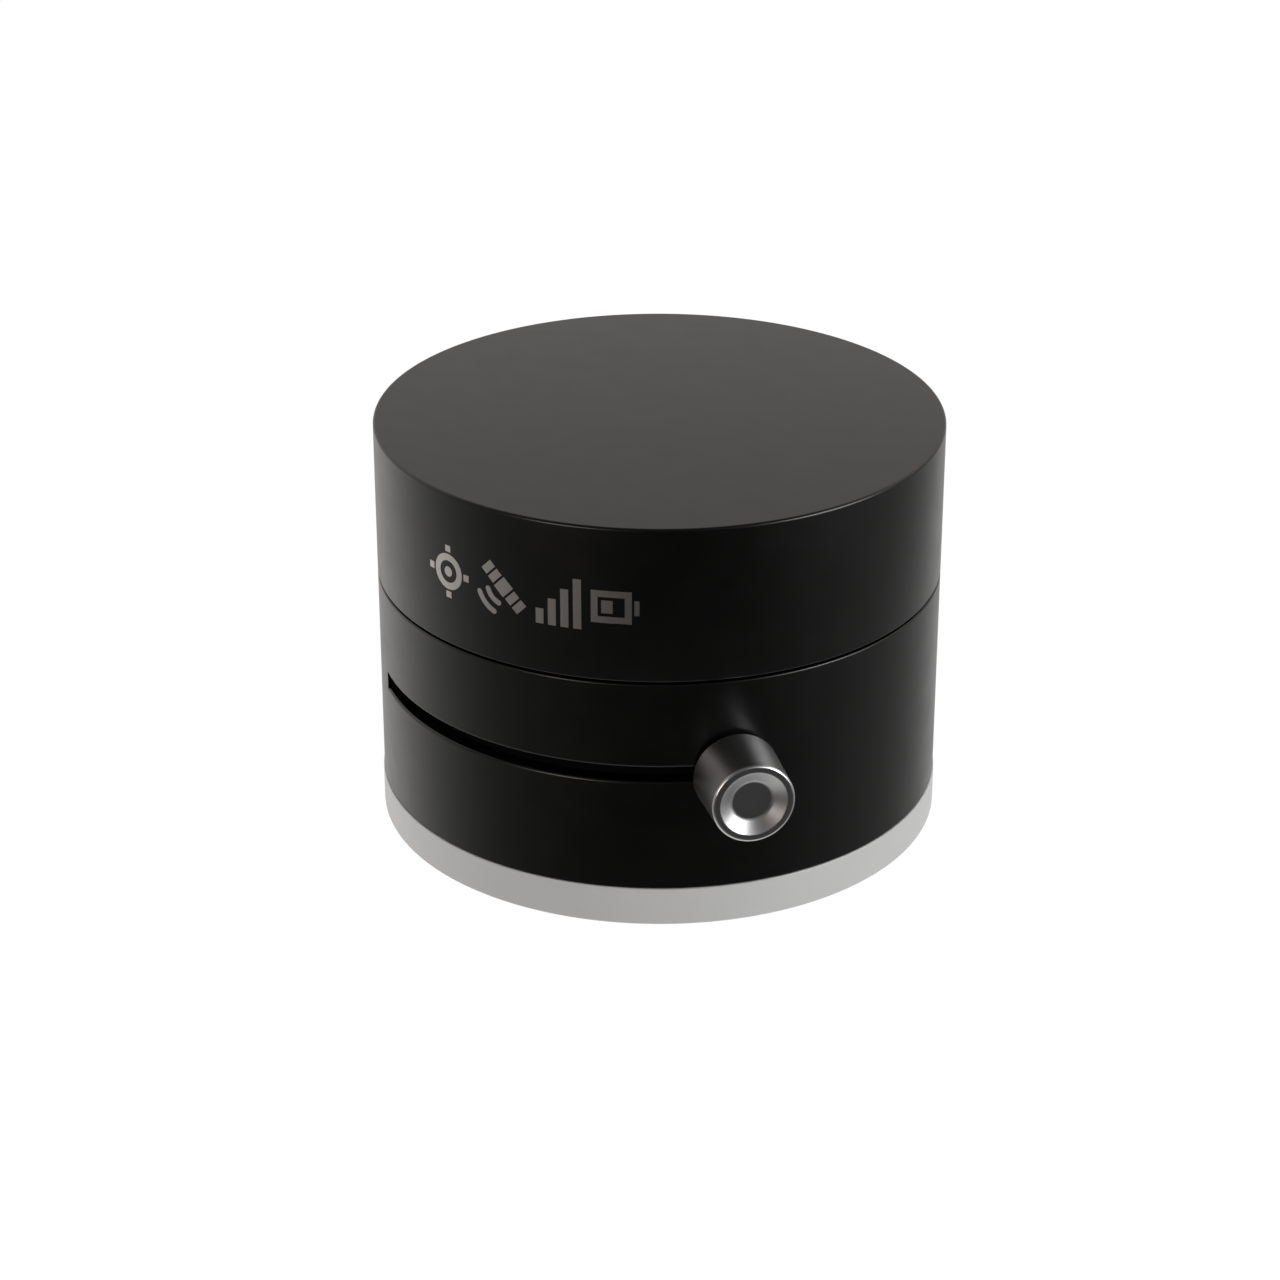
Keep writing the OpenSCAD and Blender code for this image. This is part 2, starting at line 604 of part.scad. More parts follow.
module battery_tray() color([0.20, 0.20, 0.21])
    difference() {
        union() {
            box(-29.6, 29.6, -34.4, 34.4, tub_floor + 0.1, tub_floor + 1.1);
            box(-29.6, 29.6, -30, 30, tub_floor + 0.1, 28.5);
            for (s = [-1, 1]) box(-29.6, 29.6, min(s * 33, s * 34.4), max(s * 33, s * 34.4), tub_floor + 0.1, 38);
        }
        for (i = [-1:1]) translate([i * 18.8, -32.8, cell_z]) rotate([-90, 0, 0]) cylinder(h = 65.6, r = 9.25);
        for (a = [0, 120, 240]) at_az(a) translate([28, 0, 20]) cylinder(h = 3, r = 4.0);
        for (i = [-1:1]) box(i * 18.8 - 5, i * 18.8 + 5, -21, 21, 20, 40);
    }

module battery_strap() color([0.10, 0.10, 0.11]) {
    box(-30.5, 30.5, -5, 5, cell_z + 9.15, cell_z + 9.75);
    for (s = [-1, 1]) translate([s * 30.1, 0, 0]) box(-0.4, 0.4, -5, 5, 23.5, cell_z + 9.75);
}

// two wires from the tray's end contact, up through the notch to their plug
module battery_lead() color([0.70, 0.12, 0.10]) {
    for (y = [26.2, 27.8]) {
        translate([-37, y, 30]) cylinder(h = comp_z - 28.6, r = 0.6, $fn = 24);
        translate([-37, y, 0]) rod_x(0.6, 0, 7.2, 30);
        translate([-37, y, 0]) rod_x(0.6, 0, 3, comp_z + 1.4);
        translate([-37, y, 30]) sphere(r = 0.6, $fn = 24);
        translate([-37, y, comp_z + 1.4]) sphere(r = 0.6, $fn = 24);
    }
    box(-34.5, -31.3, 25.2, 28.8, comp_z, comp_z + 2.8);
    box(-30.4, -29.62, 25, 29, 28.6, 31.4);
}

// ---- ports and button -------------------------------------------------------------------

module port_bezel() color([0.09, 0.09, 0.095])
    difference() {
        box(-10.85, 10.85, 48.45, 56.9, 42.5, 47.7);
        // socket mouth, with room for the plug's nose
        translate([port_x, 0, port_z + 0.1]) {
            box(-3.0, 3.0, 44, 55.4, -1.65, 1.65);
            for (s = [-1, 1]) translate([s * 3.0, 44, 0]) rotate([-90, 0, 0]) cylinder(h = 11.4, r = 1.65);
            box(-3.0, 3.0, 55.3, 60, -2.1, 2.1);
            for (s = [-1, 1]) translate([s * 3.0, 55.3, 0]) rotate([-90, 0, 0]) cylinder(h = 4, r = 2.1);
        }
        // card mouth
        box(1.1, 10.1, 44, 60, port_z - 0.6, port_z + 0.4);
    }

module port_gasket() color([0.14, 0.14, 0.15])
    translate([port_x, 56.9, port_z + 0.1]) difference() {
        union() {
            box(-3.2, 3.2, 0, 0.5, -2.5, 2.5);
            for (s = [-1, 1]) translate([s * 3.2, 0, 0]) rotate([-90, 0, 0]) cylinder(h = 0.5, r = 2.5);
        }
        box(-3.0, 3.0, -1, 2, -2.1, 2.1);
        for (s = [-1, 1]) translate([s * 3.0, -1, 0]) rotate([-90, 0, 0]) cylinder(h = 4, r = 2.1);
    }

module status_lenses() color([0.75, 0.85, 0.80, 0.6])
    for (i = [0:2]) at_az(button_az + 9 + i * 3.6) union() {
        rod_x(0.98, 47.5, R - 0.02, port_z);
        rod_x(1.35, 51, 52, port_z);
    }

module button_bush() color([0.12, 0.12, 0.13])
    at_az(button_az) difference() {
        union() {
            rod_x(2.0, 48.1, 51, port_z);
            rod_x(3.2, 50.9, 52.4, port_z);
        }
        rod_x(1.28, 47, 54, port_z);
    }

module power_button() color([0.62, 0.63, 0.65])
    at_az(button_az) translate([0, 0, port_z]) rotate([0, 90, 0]) rotate_extrude() difference() {
        union() {
            rect(0, 56.9, 3.2, R + 0.35);
            rect(0, 46.3, 1.2, 57);
        }
        round_cut(3.2, R + 0.35, 0.25, 1, 1);
        bevel_cut(1.2, 46.3, 0.2, 1, -1);
        translate([0, R + 5.5]) circle(5.6);
        rect(2.75, 57.5, 3.6, 58.7);
        rect(1.0, 47.1, 1.6, 47.6);
    }

module button_oring() color([0.10, 0.10, 0.11])
    at_az(button_az) translate([58.1, 0, port_z]) rotate([0, 90, 0]) rotate_extrude() translate([3.07, 0]) circle(0.29);

module button_clip() color([0.60, 0.61, 0.63])
    at_az(button_az) difference() {
        rod_x(2.0, 47.15, 47.55, port_z);
        rod_x(1.02, 46, 48, port_z);
        translate([46, -0.6, port_z]) cube([3, 1.2, 5]);
    }

module port_door() color([0.055, 0.055, 0.06]) {
    difference() {
        union() {
            arc_profile(door_a0, door_a1) difference() {
                rect(R - 1.6, door_z0, R, door_z1);
                round_cut(R, door_z0, 0.3, 1, -1);
                round_cut(R, door_z1, 0.3, 1, 1);
            }
            at_pin() translate([0, 0, door_z0]) cylinder(h = door_z1 - door_z0, r = 1.2);
        }
        at_pin() translate([0, 0, door_z0 - 1]) cylinder(h = door_z1 - door_z0 + 2, r = 0.55);
        // finger notch
        at_az(door_a1 + 0.4) translate([R - 1.6, 0, port_z]) rotate([0, 90, 0]) cylinder(h = 0.8, r = 1.6);
    }
}

module door_hinge_pin() color([0.70, 0.71, 0.73])
    at_pin() translate([0, 0, door_z0 - 1.5]) cylinder(h = door_z1 - door_z0 + 3, r = 0.5);

// ---- lock --------------------------------------------------------------------------------

module lock_drum() color([0.07, 0.07, 0.075]) {
    difference() {
        union() {
            ring(38, Ri - 0.08, flange_z0, flange_z0 + flange_t);   // its rim runs in the housing
            ring(drum_ri - 0.3, drum_ro + 0.2, flange_z0 + 1, 18);
            arc_profile(-82, 106) rect(drum_ri, 17, drum_ro, drum_top);
            // flat boss behind the lever stud
            intersection() {
                at_az(knob_az) rod_x(5.2, drum_ri - 1.2, drum_ri + 1, slot_z);
                ring(drum_ri - 1.2, drum_ro, slot_z - 6, drum_top);
            }
        }
        // keyholes: wide end over the studs when open, narrow end when locked
        for (a = stud_az) {
            at_az(a) translate([stud_pc_r, 0, 5]) cylinder(h = 24, r = 5.4);
            arc_profile(a, a + lock_travel) rect(stud_pc_r - 2.75, 4, stud_pc_r + 2.75, 30);
            at_az(a + lock_travel) translate([stud_pc_r, 0, 6]) cylinder(h = 22, r = 2.9);
        }
        // lever stud hole and the seat of its head
        at_az(knob_az) rod_x(1.5, 45, 60, slot_z);
        at_az(knob_az) rod_x(3.5, 45, drum_ri - 0.1, slot_z);
        // windows that lighten the skirt
        for (a = [-70:22:100]) arc_profile(a, a + 14) rect(drum_ri - 3, 20, drum_ro + 1, 28.5);
        // detent track
        arc_profile(75 - 2.5, 75 + lock_travel + 2.5) rect(41.3, flange_z0 - 1, 44.7, flange_z0 + 0.75);
    }
}

module knob_stud() color([0.68, 0.69, 0.71])
    at_az(knob_az) union() {
        rod_x(shaft_r, drum_ri - 0.3, 71, slot_z);
        rod_x(3.2, 51.1, drum_ri - 0.15, slot_z);
    }

// the dish in the knob's end: a flat floor, a sloping wall and soft corners between them
dish_lip = 6.95;
dish_floor = 4.3;
dish_d = 1.7;
dish_slope = atan(dish_d / (dish_lip - dish_floor));
module dish_profile() {
    rf = 1.5;               // where the floor turns into the wall
    rl = 0.4;               // where the wall turns into the rim
    tf = rf * tan(dish_slope / 2);
    tl = rl * tan(dish_slope / 2);
    difference() {
        polygon([[0, knob_end + 1], [0, knob_end - dish_d], [dish_floor, knob_end - dish_d], [dish_lip, knob_end], [dish_lip, knob_end + 1]]);
        difference() {
            polygon([[dish_floor - tf, knob_end - dish_d - 0.2], [dish_floor - tf, knob_end - dish_d], [dish_floor - tf, knob_end - dish_d + rf],
                [dish_floor + tf * cos(dish_slope), knob_end - dish_d + tf * sin(dish_slope)], [dish_floor + tf, knob_end - dish_d - 0.2]]);
            translate([dish_floor - tf, knob_end - dish_d + rf]) circle(rf);
        }
    }
    // the lip's rounding
    difference() {
        polygon([[dish_lip - 1, knob_end + 0.3], [dish_lip - tl * cos(dish_slope), knob_end - tl * sin(dish_slope)], [dish_lip + tl, knob_end - rl], [dish_lip + tl, knob_end], [dish_lip + tl, knob_end + 0.3]]);
        translate([dish_lip + tl, knob_end - rl]) circle(rl);
    }
}

module knob() color([0.60, 0.61, 0.63])
    at_az(knob_az) translate([0, 0, slot_z]) rotate([0, 90, 0]) rotate_extrude($fn = 144) difference() {
        polygon([[1.5, knob_base], [knob_r1, knob_base], [knob_r2, knob_end], [0, knob_end], [0, 71.3], [1.5, 71.3]]);
        bevel_cut(knob_r1, knob_base, 0.3, 1, -1);
        round_cut(knob_r2, knob_end, 0.6, 1, 1);
        dish_profile();
    }

module knob_washer() color([0.09, 0.09, 0.095])
    at_az(knob_az) difference() {
        rod_x(5.2, 60.2, 60.8, slot_z);
        rod_x(1.5, 60, 61, slot_z);
    }

mounting_plate();
pole_thread_insert();
lock_studs();
stud_screws();
grip_ring();
seat_gasket();
housing();
radome();
glide_ring();
retaining_ring();
detent_plunger();
housing_screws();
electronics_tub();
radome_screws();
radome_oring();
pillar_orings();
ground_plate();
ground_plate_screws();
lna_board();
lna_shield();
patch_lower();
patch_upper();
patch_feed_pins();
choke_ring();
choke_screws();
wireless_antenna();
antenna_coax();
main_board();
board_spacers();
board_screws();
gnss_module();
modem_module();
board_chips();
usb_socket();
sim_socket();
power_switch();
battery_cells();
battery_tray();
battery_strap();
port_bezel();
port_gasket();
status_lenses();
button_bush();
lock_drum();
knob_stud();
knob();
knob_washer();
port_door();
door_hinge_pin();
power_button();
button_oring();
tub_oring();
lna_standoffs();
lna_screws();
battery_lead();
button_clip();
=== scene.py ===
import math
import json
import random
import bpy
import bmesh
from mathutils import Vector, Matrix

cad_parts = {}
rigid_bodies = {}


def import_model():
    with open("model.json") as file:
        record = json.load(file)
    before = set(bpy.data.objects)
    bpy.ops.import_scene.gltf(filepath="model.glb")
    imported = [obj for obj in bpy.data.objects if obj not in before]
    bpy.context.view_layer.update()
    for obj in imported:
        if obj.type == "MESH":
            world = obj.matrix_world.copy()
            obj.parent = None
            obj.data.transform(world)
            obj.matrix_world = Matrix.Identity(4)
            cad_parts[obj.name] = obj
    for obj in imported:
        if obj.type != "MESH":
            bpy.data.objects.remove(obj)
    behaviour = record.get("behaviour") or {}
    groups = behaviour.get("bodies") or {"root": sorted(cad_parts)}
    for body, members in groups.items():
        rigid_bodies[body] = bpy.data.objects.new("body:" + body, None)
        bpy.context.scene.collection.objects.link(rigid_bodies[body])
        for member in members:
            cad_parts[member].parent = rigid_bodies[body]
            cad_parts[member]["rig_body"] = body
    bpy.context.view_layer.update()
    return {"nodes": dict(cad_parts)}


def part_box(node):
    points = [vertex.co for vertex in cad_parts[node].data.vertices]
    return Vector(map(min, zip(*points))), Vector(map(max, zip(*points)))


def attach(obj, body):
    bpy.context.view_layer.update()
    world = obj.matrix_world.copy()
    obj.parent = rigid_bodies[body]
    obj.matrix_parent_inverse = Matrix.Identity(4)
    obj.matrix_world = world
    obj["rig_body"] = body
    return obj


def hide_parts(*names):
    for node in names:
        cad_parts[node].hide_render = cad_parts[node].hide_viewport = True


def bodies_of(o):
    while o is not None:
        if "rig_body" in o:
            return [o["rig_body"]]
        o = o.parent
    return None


random.seed(7)
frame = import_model()
MM = 0.001


def srgb(r, g, b):
    out = []
    for c in (r, g, b):
        c = c / 255.0
        out.append(c / 12.92 if c <= 0.04045 else ((c + 0.055) / 1.055) ** 2.4)
    return tuple(out)


# ---- key places, some read from the frame and some given -----------------------

lo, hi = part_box("radome")
TOP = hi.z
R = (hi.x - lo.x) / 2
R = max(R, 0.06)
RAD_LO = lo.z
KNOB_AZ = 14.4
BUTTON_AZ = 203.0
PORT_Z = 0.0451
knob_lo, knob_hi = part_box("knob")
KNOB_Z = (knob_lo.z + knob_hi.z) / 2


def polar(r, az, z):
    """A point at radius r, bearing az from the front towards +X, and height z."""
    a = math.radians(az)
    return Vector((r * math.sin(a), -r * math.cos(a), z))


# ---- camera -----------------------------------------------------------------------

cam_data = bpy.data.cameras.new("camera")
cam_data.lens = 97.666
cam_data.sensor_width = 36.0
cam_data.clip_start = 0.01
cam_data.clip_end = 50.0
cam = bpy.data.objects.new("camera", cam_data)
bpy.context.scene.collection.objects.link(cam)
cam.location = (-0.00408, -0.67592, 0.36330)
cam.rotation_euler = (math.radians(90 - 25.844), 0.0, 0.0)
bpy.context.scene.camera = cam

scene = bpy.context.scene
scene.view_settings.view_transform = "Standard"
scene.view_settings.look = "None"

# ---- light --------------------------------------------------------------------------


def node(nt, kind, x=0, y=0, **values):
    n = nt.nodes.new(kind)
    n.location = (x, y)
    for k, v in values.items():
        setattr(n, k, v)
    return n


world = bpy.data.worlds.new("studio")
scene.world = world
world.use_nodes = True
wt = world.node_tree
wt.nodes.clear()
w_out = node(wt, "ShaderNodeOutputWorld", 900, 0)
w_coord = node(wt, "ShaderNodeTexCoord", -900, 0)
w_sep = node(wt, "ShaderNodeSeparateXYZ", -720, 0)
wt.links.new(w_coord.outputs["Generated"], w_sep.inputs[0])


def wmath(op, a, b=None, clamp=False, x=0, y=0):
    n = node(wt, "ShaderNodeMath", x, y, operation=op, use_clamp=clamp)
    for i, v in enumerate((a, b)):
        if v is None:
            continue
        if isinstance(v, (int, float)):
            n.inputs[i].default_value = v
        else:
            wt.links.new(v, n.inputs[i])
    return n.outputs[0]


# horizontal direction: t runs from -1 at the front to +1 at the back, s from -1 on the left to +1 on the right
hx2 = wmath("MULTIPLY", w_sep.outputs[0], w_sep.outputs[0])
hy2 = wmath("MULTIPLY", w_sep.outputs[1], w_sep.outputs[1])
hl = wmath("SQRT", wmath("ADD", wmath("ADD", hx2, hy2), 1e-5))
t = wmath("DIVIDE", w_sep.outputs[1], hl)
s = wmath("DIVIDE", w_sep.outputs[0], hl)
u = wmath("MULTIPLY_ADD", t, 0.5)
u.node.inputs[2].default_value = 0.5


def ramp(fac, stops):
    n = node(wt, "ShaderNodeValToRGB", -200, 0)
    n.color_ramp.interpolation = "LINEAR"
    while len(n.color_ramp.elements) < len(stops):
        n.color_ramp.elements.new(0.5)
    for e, (p, c) in zip(n.color_ramp.elements, stops):
        e.position = p
        e.color = (*c, 1)
    wt.links.new(fac, n.inputs[0])
    return n.outputs[0]


def grey(v, w=0.0):
    return (v * (1 + w), v, v * (1 - w))


LEFT = [(-1, .012), (-.8, .045), (-.64, .08), (-.46, .135), (-.26, .215), (-.05, .355), (.17, .52), (.37, .69), (.56, .86), (.72, .94), (.85, .86), (1, .70)]
RIGHT = [(-1, .012), (-.8, .025), (-.63, .055), (-.46, .10), (-.25, .14), (-.03, .19), (.18, .235), (.39, .295), (.57, .375), (.73, .50), (.86, .69), (1, .70)]
LEFT = [((a + 1) / 2, grey(v, 0.02)) for a, v in LEFT]
RIGHT = [((a + 1) / 2, grey(v, 0.01)) for a, v in RIGHT]
c_left = ramp(u, LEFT)
c_right = ramp(u, RIGHT)
side = wmath("MULTIPLY_ADD", s, 2.5, clamp=True)
side.node.inputs[2].default_value = 0.5
mixlr = node(wt, "ShaderNodeMix", 100, 0, data_type="RGBA")
wt.links.new(side, mixlr.inputs[0])
wt.links.new(c_left, mixlr.inputs[6])
wt.links.new(c_right, mixlr.inputs[7])


def smooth(value, a, b):
    n = node(wt, "ShaderNodeMapRange", 0, -300, interpolation_type="SMOOTHSTEP")
    wt.links.new(value, n.inputs[0])
    n.inputs[1].default_value = a
    n.inputs[2].default_value = b
    return n.outputs[0]


# the sky is brighter overhead, and straight below lies the pale floor
up = smooth(w_sep.outputs[2], 0.10, 0.42)
down = smooth(w_sep.outputs[2], -0.58, -0.90)
behind = smooth(w_sep.outputs[1], -0.35, 0.60)
BACK_SKY = [(0.0, .50), (0.30, .50), (0.42, .62), (0.58, .70), (0.76, .30), (0.9, .08)]
c_back = ramp(w_sep.outputs[2], [(a, grey(v, 0.04)) for a, v in BACK_SKY])
sky = node(wt, "ShaderNodeMix", 250, -200, data_type="RGBA")
wt.links.new(behind, sky.inputs[0])
sky.inputs[6].default_value = (0.075, 0.074, 0.073, 1)
# the raised sky is brighter at the two sides than straight behind
flank = wmath("MULTIPLY_ADD", wmath("MULTIPLY", s, s), 0.9)
flank.node.inputs[2].default_value = 1.0
lift = node(wt, "ShaderNodeVectorMath", 100, -300, operation="SCALE")
wt.links.new(c_back, lift.inputs[0])
wt.links.new(flank, lift.inputs["Scale"])
wt.links.new(lift.outputs[0], sky.inputs[7])
mixup = node(wt, "ShaderNodeMix", 300, 0, data_type="RGBA")
wt.links.new(up, mixup.inputs[0])
wt.links.new(mixlr.outputs[2], mixup.inputs[6])
wt.links.new(sky.outputs[2], mixup.inputs[7])
mixdn = node(wt, "ShaderNodeMix", 450, 0, data_type="RGBA")
wt.links.new(down, mixdn.inputs[0])
wt.links.new(mixup.outputs[2], mixdn.inputs[6])
mixdn.inputs[7].default_value = (0.75, 0.74, 0.73, 1)
bg_light = node(wt, "ShaderNodeBackground", 600, 100)
wt.links.new(mixdn.outputs[2], bg_light.inputs[0])
bg_white = node(wt, "ShaderNodeBackground", 600, -100)
bg_white.inputs[0].default_value = (1, 1, 1, 1)
bg_white.inputs[1].default_value = 1.02
path = node(wt, "ShaderNodeLightPath", 400, 300)
mixw = node(wt, "ShaderNodeMixShader", 750, 0)
wt.links.new(path.outputs["Is Camera Ray"], mixw.inputs[0])
wt.links.new(bg_light.outputs[0], mixw.inputs[1])
wt.links.new(bg_white.outputs[0], mixw.inputs[2])
wt.links.new(mixw.outputs[0], w_out.inputs[0])


def softbox(name, az, el, dist, size, power, color=(1, 1, 1), target=(0, 0, 0.045), glossy=True, diffuse=True):
    data = bpy.data.lights.new(name, "AREA")
    data.shape = "RECTANGLE"
    data.size, data.size_y = size
    data.energy = power
    data.color = color
    o = bpy.data.objects.new(name, data)
    scene.collection.objects.link(o)
    e = math.radians(el)
    d = polar(math.cos(e), az, math.sin(e))
    o.location = Vector(target) + d * dist
    o.rotation_mode = "QUATERNION"
    o.rotation_quaternion = d.to_track_quat("Z", "Y")
    o.visible_camera = False
    o.visible_glossy = glossy
    o.visible_diffuse = diffuse
    return o


softbox("key_core", 66, 17, 1.0, (0.34, 0.34), 2.1, (1.0, 1.0, 1.0))
softbox("key_halo", 65, 16, 1.0, (0.70, 0.58), 4.8, (1.0, 1.0, 1.0), diffuse=False)
softbox("fill_right", 60, 10, 1.0, (0.5, 0.5), 3.9, (1.0, 1.0, 1.0), glossy=False)
softbox("warm_left", -37, 12, 1.0, (0.38, 0.42), 2.2, (1.0, 0.91, 0.85), diffuse=False)
softbox("warm_side", -56, 8, 1.0, (0.5, 0.5), 2.1, (1.0, 0.93, 0.88), glossy=False)
softbox("side_left", -92, 8, 1.0, (0.5, 0.5), 1.2, (1.0, 1.0, 1.0), glossy=False)
softbox("overhead", 0, 90, 1.5, (2.0, 2.0), 7.4, (1.0, 0.99, 0.98), glossy=False)

# ---- floor ---------------------------------------------------------------------------------

bm = bmesh.new()
bmesh.ops.create_circle(bm, cap_ends=True, segments=96, radius=6.0)
me = bpy.data.meshes.new("floor")
bm.to_mesh(me)
bm.free()
floor = bpy.data.objects.new("floor", me)
scene.collection.objects.link(floor)
floor.location.z = -0.00005
floor.visible_glossy = False
m = bpy.data.materials.new("floor")
m.use_nodes = True
nt = m.node_tree
nt.nodes.clear()
f_out = node(nt, "ShaderNodeOutputMaterial", 400, 0)
f_dif = node(nt, "ShaderNodeBsdfDiffuse", 0, 0)
f_dif.inputs[0].default_value = (0.05, 0.05, 0.05, 1)
f_em = node(nt, "ShaderNodeEmission", 0, -150)
f_em.inputs[0].default_value = (1, 1, 1, 1)
f_em.inputs[1].default_value = 0.98
f_add = node(nt, "ShaderNodeAddShader", 200, 0)
nt.links.new(f_dif.outputs[0], f_add.inputs[0])
nt.links.new(f_em.outputs[0], f_add.inputs[1])
nt.links.new(f_add.outputs[0], f_out.inputs[0])
me.materials.append(m)

# ---- materials ------------------------------------------------------------------------------


class Mat:
    """A principled material with helpers for procedural detail in the object's own coordinates."""

    def __init__(self, name, color, rough, metal=0.0, ior=1.5):
        self.m = bpy.data.materials.new(name)
        self.m.use_nodes = True
        self.nt = self.m.node_tree
        self.bsdf = self.nt.nodes["Principled BSDF"]
        self.out = self.nt.nodes["Material Output"]
        self.bsdf.inputs["Base Color"].default_value = (*color, 1)
        self.bsdf.inputs["Roughness"].default_value = rough
        self.bsdf.inputs["Metallic"].default_value = metal
        self.bsdf.inputs["IOR"].default_value = ior
        self.coord = node(self.nt, "ShaderNodeTexCoord", -1400, 0)
        self.normal = None

    def n(self, kind, **values):
        return node(self.nt, kind, **values)

    def link(self, a, b):
        self.nt.links.new(a, b)

    def math(self, op, a, b=None, c=None, clamp=False):
        n = self.n("ShaderNodeMath", operation=op, use_clamp=clamp)
        for i, v in enumerate((a, b, c)):
            if v is None:
                continue
            if isinstance(v, (int, float)):
                n.inputs[i].default_value = v
            else:
                self.link(v, n.inputs[i])
        return n.outputs[0]

    def xyz(self):
        sep = self.n("ShaderNodeSeparateXYZ")
        self.link(self.coord.outputs["Object"], sep.inputs[0])
        return sep.outputs

    def noise(self, scale, detail=2.0, rough=0.5, vector=None, dims="3D", w=None):
        n = self.n("ShaderNodeTexNoise", noise_dimensions=dims)
        n.inputs["Scale"].default_value = scale
        n.inputs["Detail"].default_value = detail
        n.inputs["Roughness"].default_value = rough
        if dims == "1D":
            self.link(w, n.inputs["W"])
        else:
            self.link(vector or self.coord.outputs["Object"], n.inputs["Vector"])
        return n.outputs["Fac"] if "Fac" in n.outputs else n.outputs[0]

    def remap(self, value, a, b, lo, hi):
        n = self.n("ShaderNodeMapRange")
        self.link(value, n.inputs[0])
        for i, v in enumerate((a, b, lo, hi)):
            n.inputs[i + 1].default_value = v
        return n.outputs[0]

    def bump(self, height, distance, strength=1.0):
        n = self.n("ShaderNodeBump")
        n.inputs["Strength"].default_value = strength
        n.inputs["Distance"].default_value = distance
        self.link(height, n.inputs["Height"])
        if self.normal is not None:
            self.link(self.normal, n.inputs["Normal"])
        self.normal = n.outputs[0]
        self.link(self.normal, self.bsdf.inputs["Normal"])

    def vary_color(self, value, a, b, c1, c2):
        n = self.n("ShaderNodeMix", data_type="RGBA")
        self.link(self.remap(value, a, b, 0, 1), n.inputs[0])
        n.inputs[6].default_value = (*c1, 1)
        n.inputs[7].default_value = (*c2, 1)
        self.link(n.outputs[2], self.bsdf.inputs["Base Color"])
        return n

    def vary_rough(self, value, a, b, r1, r2):
        self.link(self.remap(value, a, b, r1, r2), self.bsdf.inputs["Roughness"])


def moulded(name, color, rough, grain=0.00018, depth=0.000004, spread=0.12, ior=1.5):
    """Moulded plastic: fine spark-eroded grain, slow flow marks in the gloss, a little colour drift."""
    m = Mat(name, color, rough, ior=ior)
    slow = m.noise(45, 3)
    m.vary_color(slow, 0.3, 0.7, tuple(c * (1 - spread) for c in color), tuple(c * (1 + spread) for c in color))
    gloss = m.noise(160, 4)
    m.vary_rough(gloss, 0.3, 0.7, rough - 0.018, rough + 0.018)
    m.bump(m.noise(1 / grain, 3, 0.6), depth)
    return m


HOUSING = moulded("black_moulded_housing", (0.0010, 0.00095, 0.0009), 0.296, depth=0.000002)
RADOME = moulded("black_moulded_radome", (0.0010, 0.00095, 0.0009), 0.296, depth=0.0000015)
PLATE = moulded("pale_moulded_plate", (0.455, 0.453, 0.452), 0.38, depth=0.000004, spread=0.015)
DARK = moulded("dark_moulded_trim", (0.010, 0.010, 0.0105), 0.45, depth=0.000006)
DRUM = moulded("glass_filled_drum", (0.0012, 0.0012, 0.0012), 0.8, grain=0.0003, depth=0.000012, spread=0.3)
DRUM.bsdf.inputs["Specular IOR Level"].default_value = 0.08
WHITE = moulded("slide_bearing_plastic", (0.66, 0.64, 0.58), 0.35, spread=0.03)
CHIP = moulded("moulded_package", (0.012, 0.012, 0.013), 0.5, grain=0.00012)

RUBBER = Mat("rubber", (0.011, 0.011, 0.012), 0.72)
RUBBER.vary_color(RUBBER.noise(300, 4), 0.3, 0.7, (0.008, 0.008, 0.009), (0.018, 0.018, 0.019))
RUBBER.bump(RUBBER.noise(2600, 4, 0.65), 0.00002)


def metal(name, color, rough, scratch=True, tint=0.06, aniso=0.0):
    m = Mat(name, color, rough, metal=1.0)
    cloud = m.noise(220, 4)
    m.vary_color(cloud, 0.3, 0.7, tuple(c * (1 - tint) for c in color), tuple(min(1, c * (1 + tint)) for c in color))
    m.vary_rough(m.noise(900, 3), 0.3, 0.7, rough * 0.85, rough * 1.15)
    if scratch:
        m.bump(m.noise(3500, 2), 0.0000015)
    return m


STEEL = metal("machined_steel", (0.56, 0.57, 0.58), 0.28)
DARK_STEEL = metal("blackened_steel", (0.06, 0.06, 0.065), 0.36)
BRASS = metal("turned_brass", (0.72, 0.52, 0.24), 0.25)
ALU = metal("clear_anodised_aluminium", (0.70, 0.71, 0.72), 0.32)
TUB = metal("dark_anodised_tub", (0.07, 0.072, 0.076), 0.42)
TIN = metal("tinned_can", (0.64, 0.65, 0.66), 0.24)


